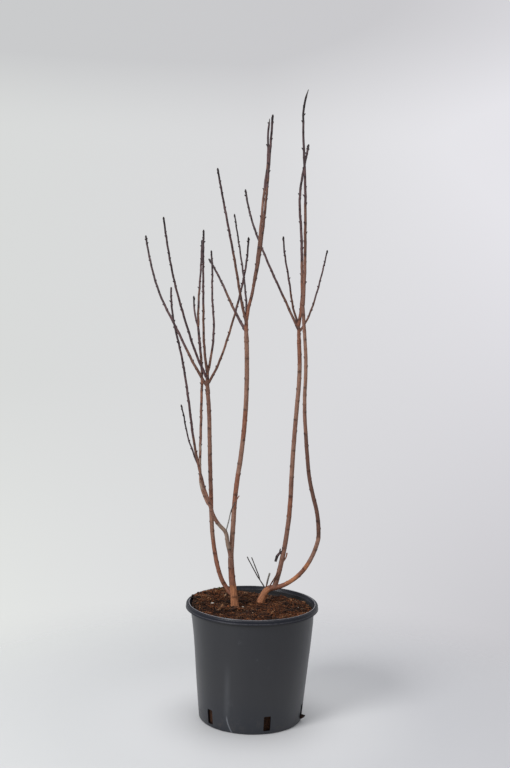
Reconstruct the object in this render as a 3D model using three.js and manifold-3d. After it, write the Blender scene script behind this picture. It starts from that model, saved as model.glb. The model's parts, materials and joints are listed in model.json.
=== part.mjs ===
// Potted smoke bush in winter: a bare shrub of two short trunks, five stems and five crowns of twigs,
// in a round nursery pot filled with coir and bark.
// Millimetres, +Z up, the front is -Y. The origin is the centre of the pot's flat underside.
import * as THREE from 'three';
import { mergeVertices } from 'three/addons/utils/BufferGeometryUtils.js';
import Module from 'manifold-3d';

const wasm = await Module();
wasm.setup();

// Driving dimensions
const gap = 0.3; // left between pieces that touch

const potSize = {
  height: 231,
  footRadius: 101,
  heelRadius: 103.2, // where the rounded foot meets the wall
  heelHeight: 4,
  shoulderRadius: 119,
  shoulderHeight: 178, // above it the wall opens a little faster
  neckRadius: 124, // under the lip
  lipRadius: 132,
  lipHeight: 10,
  lipRounding: 2.5,
  wall: 2,
  floor: 3,
  segments: 40,
};
const drainSlot = {
  width: 14, reach: 24, low: 7, high: 36, // reach is the cutter's, through the wall
  angles: [-47.5, 19, 75, 136, 195, 254], // right of the front
};

const filling = {
  floorClear: 0.3,
  level: 220,
  brim: 219, // along the wall
  heaps: [
    { x: -74, y: 84, spread: 56, rise: 12 }, // coir piled up at the back and left
    { x: -122, y: 28, spread: 36, rise: 10 },
    { x: -20, y: -98, spread: 50, rise: 4 },
    { x: 40, y: 110, spread: 50, rise: -5 },
  ],
  lump: 1.6,
  seatRadius: 13, // level round each trunk
  seatBlend: 16,
  segments: 36,
  rings: 8,
  seed: 11,
};

const sides = { trunk: 12, stem: 8, twig: 5 };
const ringEvery = { trunk: 11, limb: 23 }; // along a trunk, which bends more sharply, and along any other limb
const leanSteps = 48; // of a limb's route
const trunkCut = 14; // how far a trunk's solid runs on below the ground before it is cut flat
const flareFade = 9; // height over which a trunk's root flare dies away
const crook = 0.5; // how far a twig strays from its route
const bud = {
  every: 32, stray: 0.3, length: 4.4, radius: 1.4, lean: 42, turn: 137.5, sides: 3, clear: 2.5, tipFree: 6,
  seat: 0.3, // share of the twig's radius at which its base sits
};

// A limb is told by its length, its girth (diameter) at foot and tip, and how far it leans from
// upright at even steps along it, in degrees, to the right (+X) and to the back (+Y).
// A limb that grows from another leaves it at a share of that one's length.
const limbs = {
  leftTrunk: {
    foot: [-34, -12, 220], length: 110, girth: [14.8, 11], flare: 1.4,
    right: [-5, -8, -1], back: [0, 1],
  },
  rightTrunk: {
    foot: [16.6, 33, 221], length: 48, girth: [14.6, 12], flare: 1.8,
    right: [20, 22, 28, 70, 87], back: [-1, 0],
    dead: [
      {
        at: 0.59, length: 25, girth: [3, 2.6], right: [-31, -34], back: [-4, -6],
        dead: [
          { at: 1, length: 58, girth: [2.2, 2.2], right: [-31, -26], back: [-11, -11] },
          { at: 1, length: 50, girth: [2.2, 2.2], right: [-18, -25], back: [-1, 0] },
        ],
      },
      { at: 0.52, length: 41, girth: [3.4, 3.8], right: [7, 15], back: [-9, -9] },
      { at: 0.62, length: 44, girth: [3, 2.6], right: [31, 26], back: [-11, -10] },
    ],
  },
  centreStem: {
    from: 'leftTrunk', at: 0.94, length: 428, girth: [9.6, 9],
    right: [3, 2, 8, 4, 0, -3], back: [7, 2, -2],
  },
  sideBranch: {
    from: 'leftTrunk', at: 0.94, length: 107, girth: [8, 7.4],
    right: [-10, -17, -3, -48, -31, -17], back: [-10, -10],
    dead: [{ at: 0.5, length: 82, girth: [2.6, 2], right: [14, 12, 12, 25, 35], back: [-18, -2] }],
  },
  leftStem: {
    from: 'leftTrunk', at: 0.23, length: 415, girth: [8.6, 8.1],
    right: [-51, -16, -8, -2, -3, -2, -2, -6], back: [12, -3, -6],
  },
  rightStem: {
    from: 'rightTrunk', at: 0.96, length: 498, girth: [9.8, 8.4],
    right: [16, 8, 1, 3, 4, -5], back: [4, 1, 1],
    dead: [
      {
        at: 0.15, length: 28, girth: [6, 5.4], right: [-89, -127, -162, -168], back: [-13, -13],
        dead: [{ at: 0.29, length: 11, girth: [4.6, 2.6], right: [-5, 14], back: [-27, -32] }],
      },
      { at: 0.1, length: 26, girth: [2.6, 3], right: [50, 27, 5], back: [1, 1] },
    ],
  },
  outerStemLower: {
    from: 'rightTrunk', at: 1, length: 146, girth: [8.8, 7.2],
    right: [74, 53, 34, 21, 9], back: [-8, -12],
  },
  outerStemUpper: {
    from: 'outerStemLower', at: 1, length: 467, girth: [7.2, 6.6],
    right: [1, -17, -6, -5, 2, -5, -5], back: [-8, -2, 3],
  },
};

// A crown is one short stem on its bough's tip, and the twigs that branch from it.
const crowns = {
  leftCrown: {
    from: 'leftStem', at: 1, length: 43, girth: [7.9, 6.4], right: [-5, 1], back: [-2, -1], seed: 21,
    twigs: [
      { at: 0.33, length: 339, girth: [5.8, 3.9], right: [-35, -27, -30, -17, -11], back: [4, 16, 16] },
      { at: 0.69, length: 331, girth: [5.2, 3.7], right: [-28, -18, -16, -10, -7], back: [-13, -17, -18] },
      { at: 0.92, length: 281, girth: [5.4, 3.9], right: [-10, -1, -1, 0], back: [-9, -14, 0] },
      { at: 0.96, length: 249, girth: [5, 3.6], right: [13, 4, -7, 0, -7], back: [12, 13, 9] },
      { at: 0.42, length: 315, girth: [5.1, 3.6], right: [31, 18, 15, 11, 0], back: [-21, -22, -21] },
    ],
  },
  sideCrown: {
    from: 'sideBranch', at: 1, length: 9, girth: [7, 6.4], right: [-18, -16], back: [-9, -6], seed: 22,
    twigs: [
      {
        at: 1, length: 365, girth: [5.8, 5.4], right: [-39, -4, 0, -1, 0, -7, -7], back: [9, 17, 12, 7],
        twigs: [
          { at: 1, length: 65, girth: [4, 3.5], right: [-23, -7, -3], back: [15, 14] },
          { at: 1, length: 198, girth: [4.9, 3.7], right: [-3, 2, -2], back: [27, 22] },
        ],
      },
      {
        at: 1, length: 436, girth: [5.8, 3.8], right: [-20, -13, -7, -9, -15, 1], back: [-7, -10, -7],
        twigs: [{ at: 0.19, length: 127, girth: [3.4, 3], right: [-24, -22, -11, -16], back: [8, 7] }],
      },
    ],
  },
  centreCrown: {
    from: 'centreStem', at: 1, length: 46, girth: [8.6, 7.2], right: [-4, 0], back: [1, 0], seed: 23,
    twigs: [
      { at: 0.44, length: 200, girth: [6.2, 4], right: [-33, -25, -33], back: [34, 30] },
      { at: 0.81, length: 306, girth: [5.7, 3.9], right: [-15, -10, -12, -12, -11], back: [-10, -12, -16] },
      { at: 0.98, length: 237, girth: [4.2, 3.2], right: [0, -9, -10, -11], back: [22, 25] },
      {
        at: 0.96, length: 68, girth: [6.6, 6.4], right: [7, 14, 8], back: [2, 1],
        twigs: [
          { at: 1, length: 349, girth: [6, 4.3], right: [8, 5, 4, 4, 7, -3, 7], back: [18, 11, 10] },
          { at: 1, length: 331, girth: [6.2, 4.5], right: [12, 6, 4, 3, 3], back: [-10, -6, -9] },
        ],
      },
      { at: 0.96, length: 39, girth: [2.8, 2.4], right: [-16, -9], back: [23, 24] },
    ],
  },
  rightCrown: {
    from: 'rightStem', at: 1, length: 40, girth: [7.4, 6.2], right: [-2, -5], back: [2, 2], seed: 24,
    twigs: [
      { at: 0.65, length: 326, girth: [5.4, 4.1], right: [-25, -26, -22, -9], back: [15, 16, 16] },
      { at: 0.96, length: 187, girth: [4.6, 3.4], right: [-24, -9, -13, -4], back: [-17, -24] },
      { at: 0.9, length: 368, girth: [6.5, 4.6], right: [10, -2, -2, -6, 9, 11], back: [-4, 2, 12] },
      { at: 0.54, length: 202, girth: [4.4, 3.3], right: [36, 18, 14, 12], back: [25, 24] },
    ],
  },
  outerCrown: {
    from: 'outerStemUpper', at: 1, length: 409, girth: [6.8, 4], right: [3.5, 0.5, -1.5, -1.5, -2, -4.5, -4, -1.5, 20],
    back: [-5, -8, -7], seed: 25, twigs: [],
  },
};

// Finishes
const finish = (color, roughness) => new THREE.MeshStandardMaterial({ color, roughness, metalness: 0 });
const potPlastic = finish(0x3a3c40, 0.5);
const coir = finish(0x46301f, 1);
const oldBark = finish(0x7d5a45, 0.75);
const youngBark = finish(0x6e4a40, 0.7);

// Solids for the boolean library, and back
function solidOf(geometry) {
  const bare = geometry.clone();
  bare.deleteAttribute('normal');
  bare.deleteAttribute('uv');
  const merged = mergeVertices(bare, 1e-4);
  const mesh = new wasm.Mesh({
    numProp: 3,
    vertProperties: new Float32Array(merged.attributes.position.array),
    triVerts: new Uint32Array(merged.index.array),
  });
  return new wasm.Manifold(mesh);
}

function geometryOf(solid) {
  const mesh = solid.getMesh();
  const geometry = new THREE.BufferGeometry();
  geometry.setAttribute('position', new THREE.BufferAttribute(new Float32Array(mesh.vertProperties), 3));
  geometry.setIndex(new THREE.BufferAttribute(new Uint32Array(mesh.triVerts), 1));
  geometry.computeVertexNormals();
  return geometry;
}

const join = (solids) => solids.reduce((whole, piece) => whole.add(piece));
const largestOf = (solid) => solid.decompose().sort((a, b) => b.volume() - a.volume())[0];

// Seeded numbers from 0 to 1, the same each run
function seeded(seed) {
  let state = seed * 7919;
  return () => {
    state = (state * 16807) % 2147483647;
    return state / 2147483647;
  };
}

// Reads a value off evenly spaced stations, with t from 0 at the foot to 1 at the tip.
function along(stations, t) {
  const place = t * (stations.length - 1);
  const low = Math.min(Math.floor(place), stations.length - 2);
  return THREE.MathUtils.lerp(stations[low], stations[low + 1], place - low);
}

// The route of a limb from its foot, step by step along its leans
function routeFrom(foot, limb) {
  const route = [foot];
  for (let i = 0; i < leanSteps; i += 1) {
    const t = (i + 0.5) / leanSteps;
    const right = THREE.MathUtils.degToRad(along(limb.right, t));
    const back = THREE.MathUtils.degToRad(along(limb.back, t));
    const step = new THREE.Vector3(
      Math.sin(right) * Math.cos(back),
      Math.sin(back),
      Math.cos(right) * Math.cos(back),
    );
    route.push(route[i].clone().addScaledVector(step, limb.length / leanSteps));
  }
  return route;
}

function pointAt(route, t) {
  const place = t * leanSteps;
  const low = Math.min(Math.floor(place), leanSteps - 1);
  return route[low].clone().lerp(route[low + 1], place - low);
}

const directionAt = (route, t) =>
  pointAt(route, Math.min(1, t + 0.5 / leanSteps)).sub(pointAt(route, Math.max(0, t - 0.5 / leanSteps))).normalize();

const radiusAt = (limb, t) =>
  THREE.MathUtils.lerp(limb.girth[0], limb.girth[1], t) / 2
  + (limb.flare ?? 0) * Math.exp((-t * limb.length) / flareFade);

// Places along a limb: centre, direction, and two more axes square to it that turn as little as they can
function stationsOf(limb, random) {
  const every = limb.foot ? ringEvery.trunk : ringEvery.limb;
  const count = Math.max(2, Math.round(limb.length / every));
  let side = new THREE.Vector3(0, 1, 0);
  return Array.from({ length: count + 1 }, (_, i) => {
    const t = i / count;
    const direction = directionAt(limb.route, t);
    side = side.clone().addScaledVector(direction, -side.dot(direction)).normalize();
    const across = side.clone().cross(direction);
    const centre = pointAt(limb.route, t);
    if (random && i > 0 && i < count) {
      centre.addScaledVector(side, crook * (random() * 2 - 1)).addScaledVector(across, crook * (random() * 2 - 1));
    }
    return { t, centre, direction, side, across };
  });
}

// A limb's solid: a cylinder whose rings are moved along the route and given the girth there.
// grown widens and lengthens it, for cutting its neighbours clear of it; foot lengthens it at its foot.
function limbSolid(limb, around, { grown = 0, foot = 0 } = {}) {
  const stations = limb.stations;
  const last = stations.length - 1;
  const shape = new THREE.CylinderGeometry(1, 1, 1, around, last);
  const place = shape.attributes.position;
  for (let i = 0; i < place.count; i += 1) {
    const ring = Math.round((place.getY(i) + 0.5) * last);
    const { t, centre, direction, side, across } = stations[ring];
    const radius = radiusAt(limb, t) + grown;
    const beyond = ring === 0 ? -grown - foot : ring === last ? grown : 0;
    const at = centre.clone()
      .addScaledVector(direction, beyond)
      .addScaledVector(side, place.getX(i) * radius)
      .addScaledVector(across, place.getZ(i) * radius);
    place.setXYZ(i, at.x, at.y, at.z);
  }
  return solidOf(shape);
}

// Gives a limb and all that branches from it their routes.
function lay(limb, foot, random) {
  limb.route = routeFrom(foot, limb);
  limb.stations = stationsOf(limb, random);
  for (const twig of [...(limb.dead ?? []), ...(limb.twigs ?? [])]) {
    lay(twig, pointAt(limb.route, twig.at), random);
  }
}

const branchesOf = (limb) => [limb, ...[...(limb.dead ?? []), ...(limb.twigs ?? [])].flatMap(branchesOf)];

function branchedSolid(limb, around, grown = 0) {
  const [stem, ...twigs] = branchesOf(limb);
  return join([limbSolid(stem, around, { grown }), ...twigs.map((twig) => limbSolid(twig, sides.twig, { grown }))]);
}

// Buds stand out of a twig by turns, and one that would touch another limb is skipped.
function budsOn(limb, others, random) {
  const buds = [];
  let turn = random() * 360;
  const end = limb.length - bud.tipFree;
  for (let d = bud.every * (0.5 + random()); d < end; d += bud.every * (1 + bud.stray * (random() * 2 - 1))) {
    const t = d / limb.length;
    turn += bud.turn;
    const direction = directionAt(limb.route, t);
    const outward = new THREE.Vector3(0, 1, 0).cross(direction).normalize()
      .applyAxisAngle(direction, THREE.MathUtils.degToRad(turn));
    const lean = THREE.MathUtils.degToRad(bud.lean);
    const axis = direction.clone().multiplyScalar(Math.cos(lean)).addScaledVector(outward, Math.sin(lean));
    const base = pointAt(limb.route, t).addScaledVector(outward, radiusAt(limb, t) * bud.seat);
    const tip = base.clone().addScaledVector(axis, bud.length);
    if (others.some((other) => distanceTo(other, tip) < bud.clear)) continue;
    const cone = new THREE.ConeGeometry(bud.radius, bud.length, bud.sides);
    cone.translate(0, bud.length / 2, 0);
    cone.applyQuaternion(new THREE.Quaternion().setFromUnitVectors(new THREE.Vector3(0, 1, 0), axis));
    cone.translate(base.x, base.y, base.z);
    buds.push(solidOf(cone));
  }
  return buds;
}

const distanceTo = (limb, point) =>
  Math.min(...limb.route.map((at, i) => at.distanceTo(point) - radiusAt(limb, i / leanSteps)));

// The pot: one turned wall with a rolled lip, and slots cut through its heel
function potSolid() {
  const p = potSize;
  const lipFoot = p.height - p.lipHeight;
  const outline = new THREE.Path();
  outline.moveTo(0, 0);
  outline.lineTo(p.footRadius - p.heelHeight, 0);
  outline.quadraticCurveTo(p.footRadius + 1, 0, p.heelRadius, p.heelHeight);
  outline.lineTo(p.shoulderRadius, p.shoulderHeight);
  outline.lineTo(p.neckRadius, p.height - p.lipRounding - p.wall);
  outline.lineTo(p.lipRadius - p.wall, p.height - p.lipRounding - p.wall);
  outline.lineTo(p.lipRadius - p.wall, lipFoot);
  outline.lineTo(p.lipRadius, lipFoot);
  outline.lineTo(p.lipRadius - p.wall / 4, p.height - p.lipRounding);
  outline.quadraticCurveTo(p.lipRadius - p.wall / 2, p.height, p.lipRadius - 2 * p.wall, p.height);
  outline.lineTo(p.neckRadius + p.wall, p.height);
  outline.quadraticCurveTo(p.neckRadius - p.wall, p.height, p.neckRadius - p.wall, p.height - p.lipRounding - p.wall);
  outline.lineTo(p.shoulderRadius - p.wall, p.shoulderHeight);
  outline.lineTo(p.heelRadius - p.wall, p.heelHeight + p.floor);
  outline.lineTo(p.heelRadius - p.wall - p.heelHeight, p.floor);
  outline.lineTo(0, p.floor);
  const turned = new THREE.LatheGeometry(outline.getPoints(2), p.segments);
  turned.rotateX(Math.PI / 2);
  let solid = solidOf(turned);
  for (const angle of drainSlot.angles) {
    const cutter = new THREE.BoxGeometry(drainSlot.width, drainSlot.reach, drainSlot.high - drainSlot.low);
    cutter.translate(0, -p.heelRadius, (drainSlot.high + drainSlot.low) / 2);
    cutter.rotateZ(THREE.MathUtils.degToRad(angle));
    solid = solid.subtract(solidOf(cutter));
  }
  return solid;
}

const innerRadiusAt = (z) => {
  const p = potSize;
  const [low, high] = z < p.shoulderHeight
    ? [[p.heelRadius, p.heelHeight], [p.shoulderRadius, p.shoulderHeight]]
    : [[p.shoulderRadius, p.shoulderHeight], [p.neckRadius, p.height - p.lipRounding - p.wall]];
  return THREE.MathUtils.mapLinear(z, low[1], high[1], low[0], high[0]) - p.wall;
};

// The filling: a turned block whose top is heaped and lumpy, and level where a trunk stands
function fillingSolid(feet) {
  const f = filling;
  const clear = gap * 2;
  const bottom = potSize.floor + f.floorClear;
  const heel = potSize.heelHeight + potSize.floor;
  const top = innerRadiusAt(f.brim) - clear;
  const outline = [
    new THREE.Vector2(0, bottom),
    new THREE.Vector2(innerRadiusAt(heel) - potSize.heelHeight - clear, bottom),
    new THREE.Vector2(innerRadiusAt(heel) - clear, heel + clear),
    new THREE.Vector2(innerRadiusAt(potSize.shoulderHeight) - clear, potSize.shoulderHeight),
  ];
  for (let ring = f.rings; ring >= 0; ring -= 1) {
    outline.push(new THREE.Vector2((top * ring) / f.rings, f.brim));
  }
  const turned = new THREE.LatheGeometry(outline, f.segments);
  turned.rotateX(Math.PI / 2);
  const bare = new THREE.BufferGeometry();
  bare.setAttribute('position', turned.attributes.position);
  bare.setIndex(turned.index);
  const block = mergeVertices(bare, 1e-3);
  const place = block.attributes.position;
  const random = seeded(f.seed);
  for (let i = 0; i < place.count; i += 1) {
    const x = place.getX(i);
    const y = place.getY(i);
    if (place.getZ(i) < f.brim - 1 || Math.hypot(x, y) > top - 1) continue;
    let z = f.level + f.lump * (random() * 2 - 1);
    for (const heap of f.heaps) {
      z += heap.rise * Math.exp(-(((x - heap.x) ** 2 + (y - heap.y) ** 2) / heap.spread ** 2));
    }
    for (const foot of feet) {
      const away = Math.hypot(x - foot.x, y - foot.y) - f.seatRadius;
      const level = 1 - THREE.MathUtils.smoothstep(away, 0, f.seatBlend);
      z = THREE.MathUtils.lerp(z, foot.z - gap, level);
    }
    place.setZ(i, z);
  }
  return solidOf(block);
}

// Cuts a trunk flat and level at its foot.
function cutFlat(solid, limb) {
  const [x, y, z] = limb.foot;
  const below = new THREE.BoxGeometry(trunkCut * 6, trunkCut * 6, trunkCut * 4);
  below.translate(x, y, z - trunkCut * 2);
  return solid.subtract(solidOf(below));
}

// Levels a round seat in the filling under a trunk, clear of it.
function cutSeat(solid, limb) {
  const [x, y, z] = limb.foot;
  const air = new THREE.CylinderGeometry(filling.seatRadius, filling.seatRadius, trunkCut, sides.trunk * 2);
  air.rotateX(Math.PI / 2);
  air.translate(x, y, z - gap + trunkCut / 2);
  return solid.subtract(solidOf(air));
}

// Every limb is laid, then made in an order in which each is cut clear of its carrier and of
// the limbs made before it on that carrier.
const laid = { ...limbs, ...crowns };
for (const limb of Object.values(laid)) {
  const foot = limb.from ? pointAt(laid[limb.from].route, limb.at) : new THREE.Vector3(...limb.foot);
  lay(limb, foot, limb.seed && seeded(limb.seed));
}

const solids = {};
const grownSolids = {};
for (const [name, limb] of Object.entries(laid)) {
  const around = limb.foot ? sides.trunk : limb.twigs ? sides.twig + 1 : sides.stem;
  let solid;
  if (limb.foot) {
    const [trunk, ...twigs] = branchesOf(limb);
    solid = join([limbSolid(trunk, around, { foot: trunkCut }), ...twigs.map((twig) => limbSolid(twig, sides.twig))]);
    solid = cutFlat(solid, limb);
  } else {
    solid = branchedSolid(limb, around);
  }
  if (limb.twigs) {
    const random = seeded(limb.seed + 100);
    const own = branchesOf(limb);
    const all = Object.values(laid).flatMap(branchesOf);
    const buds = own.flatMap((twig) => budsOn(twig, all.filter((other) => other !== twig), random));
    solid = join([solid, ...buds]);
  }
  if (limb.from) {
    const before = Object.keys(solids).filter((other) => other === limb.from || laid[other].from === limb.from);
    for (const other of before) solid = solid.subtract(grownSolids[other]);
    solid = largestOf(solid);
  }
  solids[name] = solid;
  grownSolids[name] = branchedSolid(limb, around, gap);
}

// The scene graph
function node(name, solid, material, at = new THREE.Vector3()) {
  const geometry = geometryOf(solid);
  geometry.translate(-at.x, -at.y, -at.z);
  const mesh = new THREE.Mesh(geometry, material);
  mesh.name = name;
  mesh.position.copy(at);
  return mesh;
}

const nodeName = (name) => name.replace(/[A-Z]/g, (letter) => `_${letter.toLowerCase()}`);

const trunks = Object.values(limbs).filter((limb) => limb.foot);
const fill = trunks.reduce(cutSeat, fillingSolid(trunks.map((limb) => new THREE.Vector3(...limb.foot))));

const shrub = new THREE.Group();
for (const [name, limb] of Object.entries(laid)) {
  shrub.add(node(nodeName(name), solids[name], limb.twigs ? youngBark : oldBark, limb.route[0]));
}

const pottedShrub = new THREE.Group();
pottedShrub.add(node('pot', potSolid(), potPlastic), node('filling', fill, coir), shrub);

export default pottedShrub;
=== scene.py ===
import json
import math
import random

import bmesh
import bpy
import numpy as np
from mathutils import Matrix, Vector, noise

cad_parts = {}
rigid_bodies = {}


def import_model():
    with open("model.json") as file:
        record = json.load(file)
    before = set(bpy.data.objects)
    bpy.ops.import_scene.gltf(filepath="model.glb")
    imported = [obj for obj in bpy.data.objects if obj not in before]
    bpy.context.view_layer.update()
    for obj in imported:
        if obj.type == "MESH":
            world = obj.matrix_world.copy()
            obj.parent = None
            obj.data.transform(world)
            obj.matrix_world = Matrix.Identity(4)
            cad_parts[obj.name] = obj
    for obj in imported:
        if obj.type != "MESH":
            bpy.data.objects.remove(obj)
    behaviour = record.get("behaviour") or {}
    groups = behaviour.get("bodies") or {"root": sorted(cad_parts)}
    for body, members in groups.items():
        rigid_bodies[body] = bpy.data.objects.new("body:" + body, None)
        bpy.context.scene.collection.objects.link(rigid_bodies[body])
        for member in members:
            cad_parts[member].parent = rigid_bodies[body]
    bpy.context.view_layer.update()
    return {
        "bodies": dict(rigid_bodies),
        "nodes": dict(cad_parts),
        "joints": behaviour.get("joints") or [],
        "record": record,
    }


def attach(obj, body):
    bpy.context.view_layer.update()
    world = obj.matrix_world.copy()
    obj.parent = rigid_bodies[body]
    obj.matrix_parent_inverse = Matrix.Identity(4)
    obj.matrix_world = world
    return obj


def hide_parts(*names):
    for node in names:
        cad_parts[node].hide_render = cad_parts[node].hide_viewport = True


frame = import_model()

# Potted smoke bush in winter. Sizes are millimetres until a piece is finished.
mm = 0.001
scene = bpy.context.scene


def tone(red, green, blue):
    # a colour as it is seen, from 0 to 255, turned into the linear values of a socket
    seen = [value / 255 for value in (red, green, blue)]
    return tuple(v / 12.92 if v <= 0.04045 else ((v + 0.055) / 1.055) ** 2.4 for v in seen) + (1.0,)


def bell(away, width):
    # 1 in the middle, falling off smoothly over a width
    return math.exp(-((away / width) ** 2))


def clamped(value):
    return min(1, max(0, value))


# Camera, light and floor
shot = {
    "place": (-4.9, -2100.0, 791.7), "pitchDown": 3.4, "roll": 1.4,
    "lens": 50, "sensor": 36, "sight": 60,  # metres that it sees
}

studio = {
    "backdropPale": (tone(227, 229, 227), tone(230, 229, 234)),  # at the left and right
    "backdropDeep": (tone(202, 203, 204), tone(202, 201, 205)),
    "halfWidth": 0.235, "eyeLine": -0.06, "halfHeight": 0.352,  # of the view, as directions
    "deep": 0.42,  # share of the deep tone in the middle
    "deepRight": 0.95, "paleLowLeft": 0.75,  # more of it low at the right, less low at the left
    "deepTop": 1.05, "topFrom": 0.62,
    "light": tone(238, 240, 244), "ambient": 0.6,
    "floor": (tone(208, 209, 209), tone(197, 197, 200)),
    "floorReach": (-0.45, 0.5),  # where the floor has its left and right tone: painted light and shade, lighter at the left and darker at the right
    "floorPaintedLight": {"tone": tone(222, 222, 223), "share": 0.7, "reach": (0.12, 0.4)},  # painted light, lighter round the pot against its shade
    "floorRadius": 1.6, "floorFade": (0.34, 0.95),
    "lamps": {
        "key": {"at": (-2.2, -2.2, 2.25), "size": 1.3, "watts": 76, "aim": (0, 0, 0.5)},
        "fill": {"at": (1.6, -2.6, 1.5), "size": 2.2, "watts": 6, "aim": (0, 0, 0.5)},
        "top": {"at": (0.1, 0.3, 2.9), "size": 1.8, "watts": 24, "aim": (0, 0, 0.3)},
        "spark": {"at": (-1.5, -2.4, 1.9), "size": 0.26, "watts": 5, "aim": (0, 0, 0.2)},
    },
}


def makeCamera():
    lens = bpy.data.cameras.new("camera")
    lens.lens = shot["lens"]
    lens.sensor_width = shot["sensor"]
    lens.clip_end = shot["sight"]
    eye = bpy.data.objects.new("camera", lens)
    tilt = Matrix.Rotation(math.radians(90 - shot["pitchDown"]), 4, "X")
    roll = Matrix.Rotation(math.radians(shot["roll"]), 4, "Z")
    eye.matrix_world = Matrix.Translation(Vector(shot["place"]) * mm) @ tilt @ roll
    scene.collection.objects.link(eye)
    scene.camera = eye


def makeLamps():
    for name, lamp in studio["lamps"].items():
        area = bpy.data.lights.new(name, "AREA")
        area.shape = "DISK"
        area.size = lamp["size"]
        area.energy = lamp["watts"]
        holder = bpy.data.objects.new(name, area)
        holder.location = lamp["at"]
        beam = Vector(lamp["aim"]) - Vector(lamp["at"])
        holder.rotation_euler = beam.to_track_quat("-Z", "Y").to_euler()
        scene.collection.objects.link(holder)


# Materials: a socket whose maths is written as Python, and a finish made node by node
class Wire:
    def __init__(self, nodes, socket):
        self.nodes = nodes
        self.socket = socket

    def maths(self, operation, *values):
        return self.nodes.node("Math", {"operation": operation}, dict(enumerate(values)))

    def __add__(self, other):
        return self.maths("ADD", self, other)

    def __sub__(self, other):
        return self.maths("SUBTRACT", self, other)

    def __rsub__(self, other):
        return self.maths("SUBTRACT", other, self)

    def __mul__(self, other):
        return self.maths("MULTIPLY", self, other)

    def __truediv__(self, other):
        return self.maths("DIVIDE", self, other)

    __radd__ = __add__
    __rmul__ = __mul__

    def between(self, low, high, kind="SMOOTHSTEP"):
        # 0 below low, 1 above high, smooth or even in between
        values = {"Value": self, "From Min": low, "From Max": high}
        return self.nodes.node("MapRange", {"interpolation_type": kind}, values)

    def near(self, middle, reach):
        # 1 at the middle, falling to 0 at the reach on both sides
        return 1 - self.maths("ABSOLUTE", self - middle).between(0, reach)


class Nodes:
    def __init__(self, tree):
        self.tree = tree

    def node(self, kind, settings=None, values=None, out=0):
        made = self.tree.nodes.new("ShaderNode" + kind)
        for key, value in (settings or {}).items():
            setattr(made, key, value)
        for key, value in (values or {}).items():
            self.put(made.inputs[key], value)
        return Wire(self, made.outputs[out])

    def put(self, socket, value):
        if isinstance(value, Wire):
            self.tree.links.new(value.socket, socket)
        else:
            socket.default_value = value

    def blend(self, share, first, second):
        return self.node("Mix", {"data_type": "RGBA"}, {0: share, 6: first, 7: second}, out=2)

    def axes(self, place):
        return [self.node("SeparateXYZ", None, {0: place}, out=i) for i in range(3)]


class Finish(Nodes):
    def __init__(self, name, **fixed):
        self.material = bpy.data.materials.new(name)
        self.material.use_nodes = True
        super().__init__(self.material.node_tree)
        self.surface = self.tree.nodes["Principled BSDF"]
        self.use(**fixed)

    def use(self, **sockets):
        for name, value in sockets.items():
            self.put(self.surface.inputs[name.replace("_", " ")], value)

    def place(self, stretch=(1, 1, 1)):
        # Object coordinates in millimetres, stretched
        spot = self.node("TexCoord", out=3)
        return self.node("Mapping", None, {"Vector": spot, "Scale": [side / mm for side in stretch]})

    def grain(self, stretch):
        # a bark's own coordinates in millimetres, which run round and along its limb
        spot = self.node("Attribute", {"attribute_name": "grain"}, out=1)
        return self.node("Mapping", None, {"Vector": spot, "Scale": stretch})

    def grainy(self, place, scale, detail=3.0, rough=0.55, bend=0.0):
        values = {"Vector": place, "Scale": scale, "Detail": detail, "Roughness": rough, "Distortion": bend}
        return self.node("TexNoise", None, values)

    def bump(self, height, depth):
        self.use(Normal=self.node("Bump", None, {"Height": height, "Distance": depth * mm, "Strength": 1}))


def objectFrom(bm, name, group):
    mesh = bpy.data.meshes.new(name)
    bm.to_mesh(mesh)
    bm.free()
    made = bpy.data.objects.new(name, mesh)
    group.objects.link(made)
    return made


def makeFloor():
    # a pale disc that fades into the backdrop, so that no edge shows
    bm = bmesh.new()
    bmesh.ops.create_circle(bm, cap_ends=True, segments=96, radius=studio["floorRadius"])
    floor = objectFrom(bm, "floor", scene.collection)
    finish = Finish("floor", Roughness=0.55)
    spot = finish.node("TexCoord", out=3)
    away = finish.node("VectorMath", {"operation": "LENGTH"}, {0: spot}, out=1)
    # painted light and shade: the floor is lighter at the left and darker at the right
    colour = finish.blend(finish.axes(spot)[0].between(*studio["floorReach"]), *studio["floor"])
    # painted light round the pot, against its shade on the floor
    near = studio["floorPaintedLight"]
    colour = finish.blend((1 - away.between(*near["reach"])) * near["share"], colour, near["tone"])
    finish.use(Base_Color=colour, Alpha=1 - away.between(*studio["floorFade"]))
    floor.data.materials.append(finish.material)


def makeWorld():
    # the backdrop that the camera sees is brighter than the light that it gives, and unevenly lit
    s = studio
    world = bpy.data.worlds.new("studio")
    world.use_nodes = True
    world.node_tree.nodes.clear()
    nodes = Nodes(world.node_tree)
    wide, _, high = nodes.axes(nodes.node("TexCoord"))
    across = wide.between(-s["halfWidth"], s["halfWidth"], "LINEAR") * 2 - 1
    up = (high - s["eyeLine"]) / s["halfHeight"]
    right, left = across.maths("MAXIMUM", across, 0), across.maths("MINIMUM", across, 0)
    low, top = up.maths("MINIMUM", up, 0), up.between(s["topFrom"], 1)
    deep = s["deep"] - right * up * s["deepRight"] - left * low * s["paleLowLeft"] + top * s["deepTop"]
    share = across * 0.5 + 0.5
    pale, dark = nodes.blend(share, *s["backdropPale"]), nodes.blend(share, *s["backdropDeep"])
    seen = nodes.node("Background", None, {"Color": nodes.blend(deep, pale, dark)})
    lit = nodes.node("Background", None, {"Color": s["light"], "Strength": s["ambient"]})
    choose = nodes.node("MixShader", None, {0: nodes.node("LightPath"), 1: lit, 2: seen})
    out = world.node_tree.nodes.new("ShaderNodeOutputWorld")
    nodes.put(out.inputs["Surface"], choose)
    scene.world = world


makeCamera()
makeLamps()
makeFloor()
makeWorld()
scene.view_settings.view_transform = "Standard"
print("camera, lamps and floor are set")


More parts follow.
